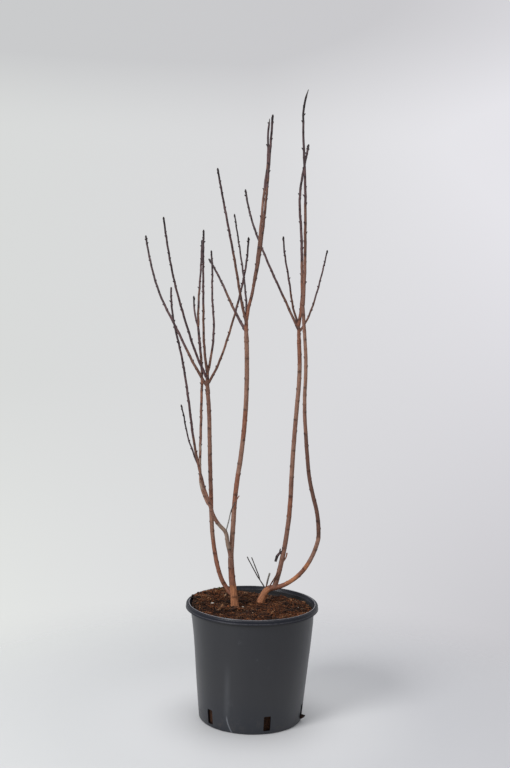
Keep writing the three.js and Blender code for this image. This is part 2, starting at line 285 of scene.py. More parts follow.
# Pieces
def finishPiece(name, mesh, finishes, nodes=()):
    for finish in finishes:
        mesh.materials.append(finish.material)
    mesh.polygons.foreach_set("use_smooth", [True] * len(mesh.polygons))
    piece = bpy.data.objects.new(name, mesh)
    scene.collection.objects.link(piece)
    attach(piece, "root")
    if nodes:
        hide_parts(*nodes)
    return piece


def meshFrom(bm, name):
    # the work is in millimetres, the finished mesh in metres
    bmesh.ops.scale(bm, vec=(mm, mm, mm), verts=bm.verts)
    mesh = bpy.data.meshes.new(name)
    bm.to_mesh(mesh)
    bm.free()
    return mesh


def turned(outline, steps):
    # spins an outline of (radius, height) about the upright axis into a closed shape
    bm = bmesh.new()
    corners = [bm.verts.new((radius, 0, height)) for radius, height in outline]
    edges = [bm.edges.new(pair) for pair in zip(corners, corners[1:])]
    bmesh.ops.spin(bm, geom=corners + edges, cent=(0, 0, 0), axis=(0, 0, 1), angle=2 * math.pi,
                   steps=steps, use_merge=True)
    bmesh.ops.remove_doubles(bm, verts=bm.verts, dist=0.001)
    bmesh.ops.recalc_face_normals(bm, faces=bm.faces)
    return bm


def arc(centre, radius, start, end, points):
    # points of an arc in an outline, angles in degrees from outward to up
    angles = np.radians(np.linspace(start, end, points))
    return [(centre[0] + radius * math.cos(a), centre[1] + radius * math.sin(a)) for a in angles]


def seeded(seed):
    # the source's own seeded numbers from 0 to 1
    state = seed * 7919

    def draw():
        nonlocal state
        state = (state * 16807) % 2147483647
        return state / 2147483647

    return draw


# The pot
pot = {
    "height": 231, "footRadius": 101, "heelRadius": 103.2, "heelHeight": 4,
    "shoulderRadius": 119, "shoulderHeight": 178, "neckRadius": 124,
    "lipRadius": 132, "lipHeight": 10, "lipRounding": 2.5,
    "wall": 2, "floor": 3, "recess": 1.6,  # inside its foot the floor stands clear of the ground
    "steps": 160, "wallRings": 24, "shoulderRings": (0.35, 0.7), "sharpFrom": 38,
    "profile": {  # steps outward and up from a corner of the outline
        "foot": ((-18, 1.6), (-14, 0), (-4, 0)),
        "underLip": ((-0.2, -1.2), (0.8, 0)),
        "lipRoot": ((-1, 0), (-0.3, -0.5), (0, -1.5)),
        "lipInside": ((0, 0.7), (0.5, 0)),
        "lipFoot": ((-0.9, 0), (0, 0.6), (0, 1.6), (-0.5, 2.3)),
        "lipSide": ((-0.6, -4.4),),
        "lipTop": ((-4, -1.5), (-5, -1.9)),
        "mouth": ((0.4, -2.4),),
        "neckInside": ((0.6, -1), (0, -3)),
        "floorEdge": ((-3, 0.4), (-5, 0)),
    },
    "rounds": {  # outward and up from a corner to the middle, radius, start, end and points
        "heel": (-3.4, 3.4, 3.2, -80, -10, 5),
        "lip": (-3, -3.4, 2.4, 15, 90, 6),
        "mouth": (1.7, -1, 1, 40, 180, 6),
    },
    "wave": {"size": 0.35, "wide": 60, "high": 90, "from": 90, "end": 20},  # how far the wall is from round
    "shift": {  # to the right, all but the lip
        "foot": 1.6, "belly": 1.0, "at": 150, "reach": 50, "top": (184, 222),
    },
    "tilt": 0.011,  # the lip dips to the front
    "crease": {"angle": -24, "width": 4.5, "depth": 0.9, "top": 62},  # a dent low in the front
    "slot": {
        "angles": (-47.5, 19, 75, 136, 195, 254),
        "width": 14, "low": 7, "high": 36, "corner": 1.5, "through": 24,
    },
    "colour": (tone(21, 22, 27), tone(31, 32, 38)),  # fresh and faded
    "coats": {  # what lies over it, and painted shade: tone, strength and reach
        "low": (tone(20, 25, 35), 0.75, (8, 90)),  # bluish near the foot
        "scuff": (tone(84, 86, 92), 0.45),
        "dust": (tone(84, 76, 70), 0.35, (2, 46)),
        "paintedShade": (tone(9, 9, 12), 0.9, (9, 1)),  # painted shade below the lip's foot, where its overhang shades the wall
    },
    "marks": [((-21, -116, 183), 7), ((33, -108, 134), 6), ((-37, -101, 60), 9), ((12, -116, 150), 5)],
    "highlightStreak": {  # a painted highlight: a thin bent streak, in a faint broad one
        "x": -44, "bend": 12, "top": 36, "width": 2.2, "strength": 0.6, "front": (40, 60),
        "broad": 9, "broadFoot": (14, 50), "broadTop": (90, 150), "broadStrength": 0.1,
        "colour": tone(120, 124, 130),
    },
    # the lip's fresh and faded tones: a darker copy of the wall's, as painted shade
    "lipShadedColour": (tone(16, 18, 27), tone(24, 26, 36)),
    "edge": {  # painted highlights on the lip's edges: from its top down to the inner one, from its foot up to the outer
        "colour": tone(128, 126, 130), "inner": (0.8, 0.1),
        "outer": 3.4, "outerWidth": 1.3, "outerStrength": 0.25,
    },
}


def potOutline():
    p = pot
    top, wall, lip, neck = p["height"], p["wall"], p["lipRadius"], p["neckRadius"]
    under, lipFoot = top - p["lipRounding"] - wall, top - p["lipHeight"]
    heel, shoulder = (p["heelRadius"], p["heelHeight"]), (p["shoulderRadius"], p["shoulderHeight"])

    def line(low, high, shares):
        return [(low[0] + (high[0] - low[0]) * t, low[1] + (high[1] - low[1]) * t) for t in shares]

    def steps(name, radius, height):
        return [(radius + out, height + up) for out, up in p["profile"][name]]

    def rounded(name, radius, height):
        out, up, *turn = p["rounds"][name]
        return arc((radius + out, height + up), *turn)

    outline = [(0, p["recess"])] + steps("foot", p["footRadius"], 0) + rounded("heel", heel[0], 0)
    outline += line(heel, shoulder, np.linspace(0, 1, p["wallRings"]))
    outline += line(shoulder, (neck, under), p["shoulderRings"])
    outline += steps("underLip", neck, under) + steps("lipRoot", lip - wall, under)
    outline += steps("lipInside", lip - wall, lipFoot) + steps("lipFoot", lip, lipFoot)
    outline += steps("lipSide", lip, top) + rounded("lip", lip, top) + steps("lipTop", lip, top)
    outline += rounded("mouth", neck, top) + steps("mouth", neck, top)
    outline += steps("neckInside", neck - wall, under)
    outline += [(shoulder[0] - wall, shoulder[1]), (heel[0] - wall, heel[1] + p["floor"])]
    return outline + steps("floorEdge", heel[0] - wall, p["floor"]) + [(0, p["floor"])]


def slotCutter(angle):
    # a block with rounded corners, laid through the heel of the wall
    s = pot["slot"]
    bm = bmesh.new()
    bmesh.ops.create_cube(bm, size=1)
    bmesh.ops.scale(bm, vec=(s["width"], s["through"], s["high"] - s["low"]), verts=bm.verts)
    inward = [e for e in bm.edges if abs(e.verts[0].co.y - e.verts[1].co.y) > 1]
    bmesh.ops.bevel(bm, geom=inward, offset=s["corner"], affect="EDGES", segments=3, profile=0.5,
                    material=-1)
    bmesh.ops.translate(bm, vec=(0, -pot["heelRadius"], (s["high"] + s["low"]) / 2), verts=bm.verts)
    turn = Matrix.Rotation(math.radians(angle), 3, "Z")
    bmesh.ops.rotate(bm, cent=(0, 0, 0), matrix=turn, verts=bm.verts)
    return bm


def combined(base, others, operation):
    # applies one Boolean of base with a group of objects, and clears them away
    cut = base.modifiers.new("combine", "BOOLEAN")
    cut.operation = operation
    cut.operand_type = "COLLECTION"
    cut.collection = others
    cut.solver = "MANIFOLD"
    bpy.context.view_layer.update()
    graph = bpy.context.evaluated_depsgraph_get()
    mesh = bpy.data.meshes.new_from_object(base.evaluated_get(graph), preserve_all_data_layers=True,
                                           depsgraph=graph)
    for spent in [base, *others.objects]:
        bpy.data.objects.remove(spent)
    bpy.data.collections.remove(others)
    return mesh


def opened(mesh, sliver):
    # a mesh to work on again, without its slivers
    bm = bmesh.new()
    bm.from_mesh(mesh)
    bpy.data.meshes.remove(mesh)
    bmesh.ops.dissolve_degenerate(bm, edges=bm.edges, dist=sliver)
    return bm


def workGroup(name):
    group = bpy.data.collections.new(name)
    scene.collection.children.link(group)
    return group


def shiftAt(z):
    # how far the pot stands to the right at a height, and how much of the lip's tilt it has there
    shift = pot["shift"]
    low, high = shift["top"]
    lift = clamped((z - low) / (high - low)) ** 2
    return (shift["foot"] + shift["belly"] * bell(z - shift["at"], shift["reach"])) * (1 - lift), lift


def shapePot(bm):
    # a thin moulded wall is never quite round, and this one has a dent low in the front
    crease, wave = pot["crease"], pot["wave"]
    for vert in bm.verts:
        x, y, z = vert.co
        radius = math.hypot(x, y)
        if radius < wave["from"]:
            continue
        angle = math.degrees(math.atan2(x, -y))
        swell = wave["size"] * noise.noise(Vector((x / wave["wide"], y / wave["wide"], z / wave["high"])))
        away = (angle - crease["angle"]) * math.radians(1) * radius
        fade = max(0, 1 - z / crease["top"])
        swell -= crease["depth"] * fade * bell(away, crease["width"])
        grown = 1 + min(swell, 0) / radius * min(1, (pot["height"] - z) / wave["end"])
        vert.co.x, vert.co.y = x * grown, y * grown
    for vert in bm.verts:
        aside, lift = shiftAt(vert.co.z)
        vert.co.x += aside
        vert.co.z += pot["tilt"] * vert.co.y * lift


def wallFinish():
    p, coats, highlightStreak = pot, pot["coats"], pot["highlightStreak"]
    finish = Finish("potPlastic", IOR=1.57)
    place = finish.place()
    x, y, height = finish.axes(place)
    cloudy = finish.grainy(place, 0.02, 3)
    upright = finish.grainy(finish.place((1, 1, 0.06)), 0.09, 3)
    scratches = finish.grainy(finish.place((0.05, 0.05, 1.6)), 0.35, 2, bend=0.4)
    marks = finish.grainy(place, 0.045, 5, 0.7).between(0.6, 0.78) * scratches.between(0.55, 0.75)
    for spot, reach in p["marks"]:
        away = finish.node("VectorMath", {"operation": "DISTANCE"}, {0: place, 1: spot}, out=1)
        marks = marks + (1 - away.between(0, reach)) * finish.grainy(place, 0.4, 4, 0.7).between(0.42, 0.7)
    dusty = (1 - height.between(*coats["dust"][2])) * finish.grainy(place, 0.12, 4, 0.65).between(0.45, 0.8)
    lipFoot = p["height"] - p["lipHeight"]
    masks = {
        "low": 1 - height.between(*coats["low"][2]),
        "scuff": marks,
        "dust": dusty,
        # painted shade just under the lip
        "paintedShade": height.between(*[lipFoot - below for below in coats["paintedShade"][2]]),
    }
    colour = finish.blend(cloudy * 0.4 + upright * 0.4, *p["colour"])
    for name, mask in masks.items():
        colour = finish.blend(mask * coats[name][1], colour, coats[name][0])
    # painted highlight: a thin bent streak low on the front, in a faint broad band
    low = 1 - height.between(0, highlightStreak["top"], "LINEAR")
    front = (y * -1).between(*highlightStreak["front"])
    aside = x - highlightStreak["x"]
    thin = (aside - low * low * highlightStreak["bend"]).near(0, highlightStreak["width"]) * low.between(0, 0.3) * front
    broad = aside.near(0, highlightStreak["broad"]) * height.between(*highlightStreak["broadFoot"])
    broad = broad * (1 - height.between(*highlightStreak["broadTop"])) * front
    highlightShare = thin * highlightStreak["strength"] + broad * highlightStreak["broadStrength"]
    colour = finish.blend(highlightShare, colour, highlightStreak["colour"])
    dull = marks * 0.2 + dusty * 0.25 + masks["paintedShade"] * 0.45
    finish.use(Base_Color=colour, Roughness=0.3 + cloudy * 0.12 + dull)
    finish.bump(finish.grainy(place, 1.1, 2) * 0.25 + upright, 0.1)
    return finish


def lipFinish():
    # the lip and the wall's inside are a darker copy of the plastic, as painted shade, and duller, with
    # painted highlights along two edges
    top, edge = pot["height"], pot["edge"]
    finish = Finish("lipPlastic", Roughness=0.36, Specular_IOR_Level=0.3)
    place = finish.place()
    _, y, z = finish.axes(place)
    height = z - y * pot["tilt"]
    patchy = finish.grainy(place, 0.3, 4, 0.7).between(0.3, 0.6)
    # painted highlights, patchy, along the lip's inner and outer edges
    inner = height.between(*[top - below for below in edge["inner"]]) * (0.5 + patchy * 0.5)
    outer = height.near(top - pot["lipHeight"] + edge["outer"], edge["outerWidth"]) * patchy
    # a darker copy of the plastic's tones, as painted shade
    colour = finish.blend(finish.grainy(place, 0.03, 3), *pot["lipShadedColour"])
    finish.use(Base_Color=finish.blend(inner + outer * edge["outerStrength"], colour, edge["colour"]))
    return finish


def makePot():
    group = workGroup("slots")
    for i, angle in enumerate(pot["slot"]["angles"]):
        objectFrom(slotCutter(angle), f"slot{i}", group)
    bm = turned(potOutline(), pot["steps"])
    shapePot(bm)
    shell = objectFrom(bm, "potShell", scene.collection)
    bm = opened(combined(shell, group, "DIFFERENCE"), 0.02)
    lipFoot = pot["height"] - pot["lipHeight"]
    for face in bm.faces:
        face.material_index = int(face.calc_center_median().z > lipFoot - 0.1)
    finishes = [wallFinish(), lipFinish()]
    piece = finishPiece("nursery_pot", meshFrom(bm, "nursery_pot"), finishes, ["pot"])
    piece.data.set_sharp_from_angle(angle=math.radians(pot["sharpFrom"]))


makePot()
print("pot is turned")


# Small things: shapes made once, then joined as arrays in many places
def shapeOf(bm):
    bmesh.ops.triangulate(bm, faces=bm.faces)
    points = np.array([vert.co for vert in bm.verts], float)
    corners = np.array([[vert.index for vert in face.verts] for face in bm.faces], int)
    bm.free()
    return points, corners


def scattered(name, shapes, places, finishes):
    # places: (shape number, 4x4 matrix in millimetres, finish number)
    points, corners, slots, first = [], [], [], 0
    for number, matrix, kind in places:
        shape, faces = shapes[number]
        turn = np.array(matrix)
        points.append(shape @ turn[:3, :3].T + turn[:3, 3])
        corners.append(faces + first)
        slots.append(np.full(len(faces), kind, int))
        first += len(shape)
    points, corners = np.concatenate(points) * mm, np.concatenate(corners)
    mesh = bpy.data.meshes.new(name)
    mesh.from_pydata(points.tolist(), [], corners.tolist())
    mesh.polygons.foreach_set("material_index", np.concatenate(slots))
    return finishPiece(name, mesh, finishes)


def extruded(bm, edges):
    # extrudes a ring of edges, and gives the new ring's vertices and edges
    out = bmesh.ops.extrude_edge_only(bm, edges=edges)["geom"]
    ring = [part for part in out if isinstance(part, bmesh.types.BMVert)]
    here = set(ring)
    sides = [part for part in out if isinstance(part, bmesh.types.BMEdge)]
    return ring, [edge for edge in sides if here.issuperset(edge.verts)]


# The filling: coir and bark, heaped at the left and back
trunkFeet = {"left_trunk": (-34, -12, 220), "right_trunk": (16.6, 33, 221)}

filling = {
    "floorClear": 0.3, "level": 220, "brim": 219, "wallClear": 1,
    "heaps": [
        {"x": -74, "y": 84, "spread": 56, "rise": 12},
        {"x": -122, "y": 28, "spread": 36, "rise": 10},
        {"x": -20, "y": -98, "spread": 50, "rise": 4},
        {"x": 40, "y": 110, "spread": 50, "rise": -5},
    ],
    "seat": {"radius": 11, "blend": 18, "ease": 0.8, "dip": 0.3},  # where a trunk stands
    "clump": {"x": -46, "y": -44, "spread": 15, "rise": 9},  # before the left trunk's foot
    "lumps": [(24, 2.6), (9, 2.6), (3.5, 1.2)],  # size and height
    "edge": {"from": 104, "reach": 14, "drop": 1.5},
    "side": {"foot": 5, "rise": 8, "end": 3, "rings": 30, "lump": 7, "sunk": 1.3},
    "darkSlots": {  # where the coir has fallen in behind a slot, at which angle and how deep
        "below": 46, "width": 7, "falls": [(-47.5, 3.2), (19, 7), (75, 7)],
    },
    "steps": 220, "ringEvery": 1.7,
    "colour": tone(80, 50, 33), "dark": tone(24, 15, 10),
}


def heapAt(heap, x, y):
    # a heap's share of its height at a place
    return math.exp(-((x - heap["x"]) ** 2 + (y - heap["y"]) ** 2) / heap["spread"] ** 2)


def soilHeight(x, y):
    f, seat, edge = filling, filling["seat"], filling["edge"]
    z = f["level"]
    for heap in [*f["heaps"], f["clump"]]:
        z += heap["rise"] * heapAt(heap, x, y)
    for size, rise in f["lumps"]:
        z += rise * noise.noise(Vector((x / size, y / size, size)))
    for footX, footY, footZ in trunkFeet.values():
        away = (math.hypot(x - footX, y - footY) - seat["radius"]) / seat["blend"]
        z += (footZ - seat["dip"] - z) * (1 - clamped(away) ** seat["ease"])
    return z - edge["drop"] * clamped((math.hypot(x, y) - edge["from"]) / edge["reach"]) ** 2


def innerRadius(z):
    p = pot
    low, high = (p["heelRadius"], p["heelHeight"]), (p["shoulderRadius"], p["shoulderHeight"])
    if z > p["shoulderHeight"]:
        low, high = high, (p["neckRadius"], p["height"] - p["lipRounding"] - p["wall"])
    return low[0] + (high[0] - low[0]) * (z - low[1]) / (high[1] - low[1]) - p["wall"]


def soilFinish(name, colour, dark, grit=0.55):
    finish = Finish(name, Roughness=0.95, Specular_IOR_Level=0.25)
    place = finish.place()
    specks = finish.grainy(place, grit, 4, 0.7)
    patches = finish.grainy(place, 0.09, 3)
    share = specks.between(0.38, 0.68) * 0.75 + patches.between(0.35, 0.7) * 0.25
    finish.use(Base_Color=finish.blend(share, dark, colour))
    finish.bump(specks, 0.5)
    return finish


def makeBed():
    f, side, fallen = filling, filling["side"], filling["darkSlots"]
    bottom, heel = pot["floor"] + f["floorClear"], pot["floor"] + pot["heelHeight"]
    outline = [(0, bottom), (innerRadius(heel) - side["foot"], bottom)]
    outline += [(innerRadius(heel) - f["wallClear"], heel + 1)]
    heights = np.linspace(heel + side["rise"], f["brim"] - side["end"], side["rings"])
    outline += [(innerRadius(z) - f["wallClear"], z) for z in heights]
    rim = innerRadius(f["brim"]) - f["wallClear"]
    rings = int(rim / f["ringEvery"])
    outline += [(rim * (1 - i / rings), f["brim"]) for i in range(rings + 1)]
    bm = turned(outline, f["steps"])
    for vert in bm.verts:
        x, y, z = vert.co
        if z > f["brim"] - 0.5:
            vert.co.z = soilHeight(x, y)
        elif z > bottom + 1:
            lump = side["lump"]
            sunk = side["sunk"] * abs(noise.noise(Vector((x / lump, y / lump, z / lump))))
            for angle, deep in fallen["falls"] if z < fallen["below"] else ():
                away = math.degrees(math.atan2(x, -y)) - angle
                sunk += deep * math.exp(-((away / fallen["width"]) ** 4))
            pull = 1 - sunk / math.hypot(x, y)
            vert.co.x, vert.co.y = x * pull + shiftAt(z)[0], y * pull
    finish = soilFinish("coirBed", f["colour"], f["dark"])
    finishPiece("coir_bed", meshFrom(bm, "coir_bed"), [finish], ["filling"])


makeBed()

litter = {
    "seed": 5,
    "reach": 118, "trunkClear": 8.5,
    "inside": 119.5, "wander": 0.08,  # a thing that would reach farther out lies along the wall, more or less
    "grit": 0.9,
    "chips": {
        "count": 1500, "long": (4, 12), "short": (0.5, 1), "wide": (0.2, 0.4), "thick": (0.12, 0.28),
        "least": 0.9, "tilt": 0.36, "lift": (-0.3, 1.6),
        "kinds": 8, "taper": 0.45, "ragged": 0.11, "bend": (0.25, 3),
    },
    "crumbs": {
        "count": 3200, "size": (1.3, 4.4), "long": (0.8, 1.4), "high": (0.6, 1),
        "tilt": 0.6, "lift": (-0.2, 1.8), "kinds": 6, "ragged": (0.7, 1.25),
    },
    "spilt": {  # crumbs on the rim, between two angles
        "count": 150, "size": (2, 6), "long": (0.9, 1.6), "high": (0.5, 0.9),
        "tilt": 0.5, "rise": 2, "from": 108, "to": 172, "rim": (114, 125),
    },
    "fibres": {
        "count": 3600, "long": (7, 28), "thick": (0.4, 0.9), "inward": (12, 40),
        "tilt": 0.13, "lift": (0.6, 2.4), "kinds": 8, "pieces": 7, "bow": 0.9, "wave": (0.3, 1.7),
        "stretch": 30,  # a fibre's length in its own thicknesses, for its bow
    },
    "patches": [(26, 3.7, 1), (9, 8.1, 0.6)],  # of like tones: size, place in the noise and strength
    "clumpLean": 0.6,
    "tones": {  # colour, its dark side, how often it comes, and its lean to the dark or light patches
        "dark": (tone(54, 33, 23), tone(17, 10, 8), 28, -2.8),
        "brown": (tone(108, 67, 45), tone(46, 27, 18), 34, 0),
        "rust": (tone(150, 89, 50), tone(74, 41, 24), 24, 1.5),
        "tan": (tone(164, 118, 82), tone(92, 62, 42), 8, 2),
        "pale": (tone(190, 160, 128), tone(120, 94, 72), 1.4, 1.5),
        "grey": (tone(94, 78, 66), tone(46, 38, 32), 4, -1.3),
        "white": (tone(206, 200, 190), tone(150, 142, 132), 0, 0),
        "green": (tone(92, 96, 52), tone(52, 54, 30), 0, 0),
    },
    "seenLift": (0.4, 1),  # share of its height, and millimetres, that a single thing's middle lies up
    # single things that catch the eye: kind, tone, where, size and how far turned
    "seen": [  # (its height too, where it isn't on the filling)
        ("crumb", "white", (-79, -4), (8, 6, 4), 20),
        ("crumb", "white", (-18, -6), (5.2, 4.4, 3.8), 0),
        ("crumb", "white", (92, -4), (3, 2.6, 2.4), 0),
        ("fibre", "pale", (94, -46), (46, 1.2, 1.2), 68),
        ("fibre", "pale", (90, -40), (34, 1, 1), 80),
        ("chip", "tan", (-57, -32), (24, 5, 3), 45),
        ("chip", "brown", (-37, -50), (15, 6, 4), 12),
        ("chip", "tan", (-59, -33), (11, 3, 9), 52),
        ("chip", "rust", (-49, -30), (9, 4, 9), -15),
        ("chip", "dark", (-40, -58), (13, 5, 6), 3),
        ("chip", "rust", (-27, -40), (11, 5, 4), -30),
        ("chip", "brown", (-56, -42), (14, 6, 5), -25),
        ("crumb", "rust", (-46, -48), (7, 6, 5), 0),
        ("crumb", "rust", (-52, -34), (6, 5, 5), 40),
        ("fibre", "pale", (-62, -36), (22, 1.6, 1.6), 50),
        ("fibre", "tan", (-50, -46), (24, 1.4, 1.4), 70),
        ("fibre", "tan", (-43, -52), (20, 1.2, 1.2), 100),
        ("fibre", "rust", (-36, -44), (18, 1.4, 1.4), 84),
        ("crumb", "pale", (-34, -38), (5, 4, 4), 0),
        ("chip", "dark", (104, -29, 11), (13, 6, 5), 40),
        ("chip", "green", (-69, 92), (9, 5, 4), 30),
        ("chip", "green", (-60, 90), (6, 4, 3), 120),
        ("chip", "tan", (106, 50), (10, 5, 3), 115),
    ],
}


def chipShapes(draw):
    # bark chips: blocks cut twice across their length, with their corners pushed about
    c, shapes = litter["chips"], []
    for _ in range(c["kinds"]):
        bm = bmesh.new()
        bmesh.ops.create_cube(bm, size=1)
        lengthwise = [e for e in bm.edges if abs(e.verts[0].co.x - e.verts[1].co.x) > 0.5]
        bmesh.ops.subdivide_edges(bm, edges=lengthwise, cuts=2)
        for vert in bm.verts:
            end = 1 - c["taper"] * abs(vert.co.x * 2) ** 2
            vert.co.y *= end
            vert.co.z *= end
            vert.co += Vector([draw.uniform(-c["ragged"], c["ragged"]) for _ in range(3)])
            vert.co.z += c["bend"][0] * math.sin(vert.co.x * c["bend"][1])
        shapes.append(shapeOf(bm))
    return shapes


def crumbShapes(draw):
    c, shapes = litter["crumbs"], []
    for _ in range(c["kinds"]):
        bm = bmesh.new()
        bmesh.ops.create_icosphere(bm, subdivisions=1, radius=0.5)
        for vert in bm.verts:
            vert.co *= draw.uniform(*c["ragged"])
        shapes.append(shapeOf(bm))
    return shapes


def fibreShapes(draw):
    # coir fibres: a thin three-sided strand, drawn out along a bent line
    c, shapes = litter["fibres"], []
    pieces = c["pieces"]
    ripple, wavelength = c["wave"]
    for _ in range(c["kinds"]):
        bm = bmesh.new()
        ring = bmesh.ops.create_circle(bm, cap_ends=True, segments=3, radius=0.5)["verts"]
        edges = list(bm.edges)
        bmesh.ops.rotate(bm, cent=(0, 0, 0), matrix=Matrix.Rotation(math.pi / 2, 3, "Y"), verts=ring)
        bmesh.ops.translate(bm, vec=(-0.5, 0, 0), verts=ring)
        bow, wave = draw.uniform(-c["bow"], c["bow"]), draw.uniform(-ripple, ripple)
        for i in range(1, pieces + 1):
            ring, edges = extruded(bm, edges)
            slope = bow * (1 - 2 * i / pieces) + wave * math.cos(i * wavelength)
            # thin shapes are stretched when they are placed, so the bow is told in shares of the length
            bmesh.ops.translate(bm, vec=(1 / pieces, slope / pieces * c["stretch"], 0), verts=ring)
        bmesh.ops.contextual_create(bm, geom=edges)
        shapes.append(shapeOf(bm))
    return shapes


def dealtAt(draw, x, y):
    # the tone of a small thing: neighbours tend to be alike, so the filling is patchy
    patch = 0
    for size, level, strength in litter["patches"]:
        patch += strength * noise.noise(Vector((x / size, y / size, level)))
    patch -= litter["clumpLean"] * heapAt(filling["clump"], x, y)
    weights = [often * math.exp(lean * patch) for *_, often, lean in litter["tones"].values()]
    return draw.choices(range(len(weights)), weights)[0]


def onSoil(draw):
    # a random place on the filling, clear of the trunks
    while True:
        away = litter["reach"] * math.sqrt(draw.random())
        turn = draw.uniform(0, 2 * math.pi)
        x, y = away * math.cos(turn), away * math.sin(turn)
        if all(math.hypot(x - foot[0], y - foot[1]) > litter["trunkClear"] for foot in trunkFeet.values()):
            return x, y


def layOn(draw, x, y, size, tilt, lift):
    # lays a small thing on the filling, turned and tilted at random, or along the wall where it is near
    turn = draw.uniform(0, 2 * math.pi)
    if math.hypot(x, y) + size[0] / 2 > litter["inside"]:
        turn = math.atan2(y, x) + math.pi / 2 + draw.gauss(0, litter["wander"])
    turn = Matrix.Rotation(turn, 4, "Z")
    lean = Matrix.Rotation(draw.gauss(0, tilt), 4, "Y") @ Matrix.Rotation(draw.gauss(0, tilt), 4, "X")
    return Matrix.Translation((x, y, soilHeight(x, y) + lift)) @ turn @ lean @ Matrix.Diagonal((*size, 1))


def makeLitter():
    draw = random.Random(litter["seed"])
    names = list(litter["tones"])
    finishes = [soilFinish(name + "Chips", *litter["tones"][name][:2], litter["grit"]) for name in names]
    shapes = {"chip": chipShapes(draw), "crumb": crumbShapes(draw), "fibre": fibreShapes(draw)}
    places = {kind: [] for kind in shapes}

    def strew(kind, x, y, size, tilt, lift):
        number = draw.randrange(len(shapes[kind]))
        places[kind].append((number, layOn(draw, x, y, size, tilt, lift), dealtAt(draw, x, y)))

    def crumbSize(c):
        across = draw.uniform(*c["size"])
        return across * draw.uniform(*c["long"]), across, across * draw.uniform(*c["high"])

    c = litter["chips"]
    for _ in range(c["count"]):
        x, y = onSoil(draw)
        long = draw.uniform(*c["long"]) * draw.uniform(*c["short"])
        size = (long, long * draw.uniform(*c["wide"]), max(c["least"], long * draw.uniform(*c["thick"])))
        strew("chip", x, y, size, c["tilt"], draw.uniform(*c["lift"]))
    c = litter["crumbs"]
    for _ in range(c["count"]):
        x, y = onSoil(draw)
        strew("crumb", x, y, crumbSize(c), c["tilt"], draw.uniform(*c["lift"]))
    c = litter["spilt"]
    for _ in range(c["count"]):
        turn, away = math.radians(draw.uniform(c["from"], c["to"])), draw.uniform(*c["rim"])
        size = crumbSize(c)
        x, y = away * math.cos(turn), away * math.sin(turn)
        lift = max(0, pot["height"] - soilHeight(x, y)) + draw.uniform(-1, c["rise"]) * draw.random()
        strew("crumb", x, y, size, c["tilt"], lift)
    c = litter["fibres"]
    for _ in range(c["count"]):
        x, y = onSoil(draw)
        inward = 1 - c["inward"][0] / max(c["inward"][1], math.hypot(x, y))
        long, thick = draw.uniform(*c["long"]), draw.uniform(*c["thick"])
        strew("fibre", x * inward, y * inward, (long, thick, thick), c["tilt"], draw.uniform(*c["lift"]))
    share, more = litter["seenLift"]
    for kind, colour, (x, y, *z), size, turn in litter["seen"]:
        z = z[0] if z else soilHeight(x, y) + size[2] * share + more
        turn = Matrix.Rotation(math.radians(turn), 4, "Z")
        matrix = Matrix.Translation((x, y, z)) @ turn @ Matrix.Diagonal((*size, 1))
        places[kind].append((0, matrix, names.index(colour)))
    for kind, name in (("chip", "bark_chips"), ("crumb", "coir_crumbs"), ("fibre", "coir_fibres")):
        scattered(name, shapes[kind], places[kind], finishes)


makeLitter()
print("filling is laid")


# The shrub. A limb is told as in the source: its length, its girth (diameter) at foot and tip, its leans from
# upright in degrees at even steps, to the right and to the back, and its bark tones from foot to tip.
# It leaves its carrier at a share of that one's length. A thin tip ends pale and without a bud.
def wood(length, girth, right, back, tints="", **more):
    return {"length": length, "girth": girth, "right": right, "back": back, "tints": tints.split(), **more}


limbs = {
    "left_trunk": wood(110, (14.8, 11), (-5, -8, -1), (0, 1), "old old rust brown",
                       foot=trunkFeet["left_trunk"], flare=1.4),
    "right_trunk": wood(48, (14.6, 12), (20, 22, 28, 70, 87), (-1, 0), "old old old rust rust",
                        foot=trunkFeet["right_trunk"], flare=1.8, dead=[
        wood(25, (3, 2.6), (-31, -34), (-4, -6), "umber ash", at=0.59, dead=[
            wood(58, (2.2, 2.2), (-31, -26), (-11, -11), "ash", at=1),
            wood(50, (2.2, 2.2), (-18, -25), (-1, 0), "ash", at=1),
        ]),
        wood(41, (3.4, 3.8), (7, 15), (-9, -9), "umber ash ash silver", at=0.52),
        wood(44, (3, 2.6), (31, 26), (-11, -10), "rust umber", at=0.62),
    ]),
    "centre_stem": wood(428, (9.6, 9), (3, 2, 8, 4, 0, -3), (7, 2, -2), "tan tan rust tan rust tan tan",
                        carrier="left_trunk", at=0.94),
    "side_branch": wood(107, (8, 7.4), (-10, -17, -3, -48, -31, -17), (-10, -10),
                        "brown moss moss moss tan brown", carrier="left_trunk", at=0.94, dead=[
        wood(82, (2.6, 2), (14, 12, 12, 25, 35), (-18, -2), "silver ash rust", at=0.5),
    ]),
    "left_stem": wood(415, (8.6, 8.1), (-51, -16, -8, -2, -3, -2, -2, -6), (12, -3, -6),
                      "rust rust tan rust brown tan brown", carrier="left_trunk", at=0.23),
    "right_stem": wood(498, (9.8, 8.4), (16, 8, 1, 3, 4, -5), (4, 1, 1),
                       "brown brown rust brown tan brown tan rust", carrier="right_trunk", at=0.96, dead=[
        wood(28, (6, 5.4), (-89, -127, -162, -168), (-13, -13), "dark dark tip", at=0.15, dead=[
            wood(11, (4.6, 2.6), (-5, 14), (-27, -32), "dark", at=0.29),
        ]),
        wood(26, (2.6, 3), (50, 27, 5), (1, 1), "rust", at=0.1),
    ]),
    "outer_stem_lower": wood(146, (8.8, 7.2), (74, 53, 34, 21, 9), (-8, -12),
                             "rust old tan umber umber umber umber brown tan tan tan brown",
                             carrier="right_trunk", at=1),
    "outer_stem_upper": wood(467, (7.2, 6.6), (1, -17, -6, -5, 2, -5, -5), (-8, -2, 3),
                             carrier="outer_stem_lower", at=1),
}

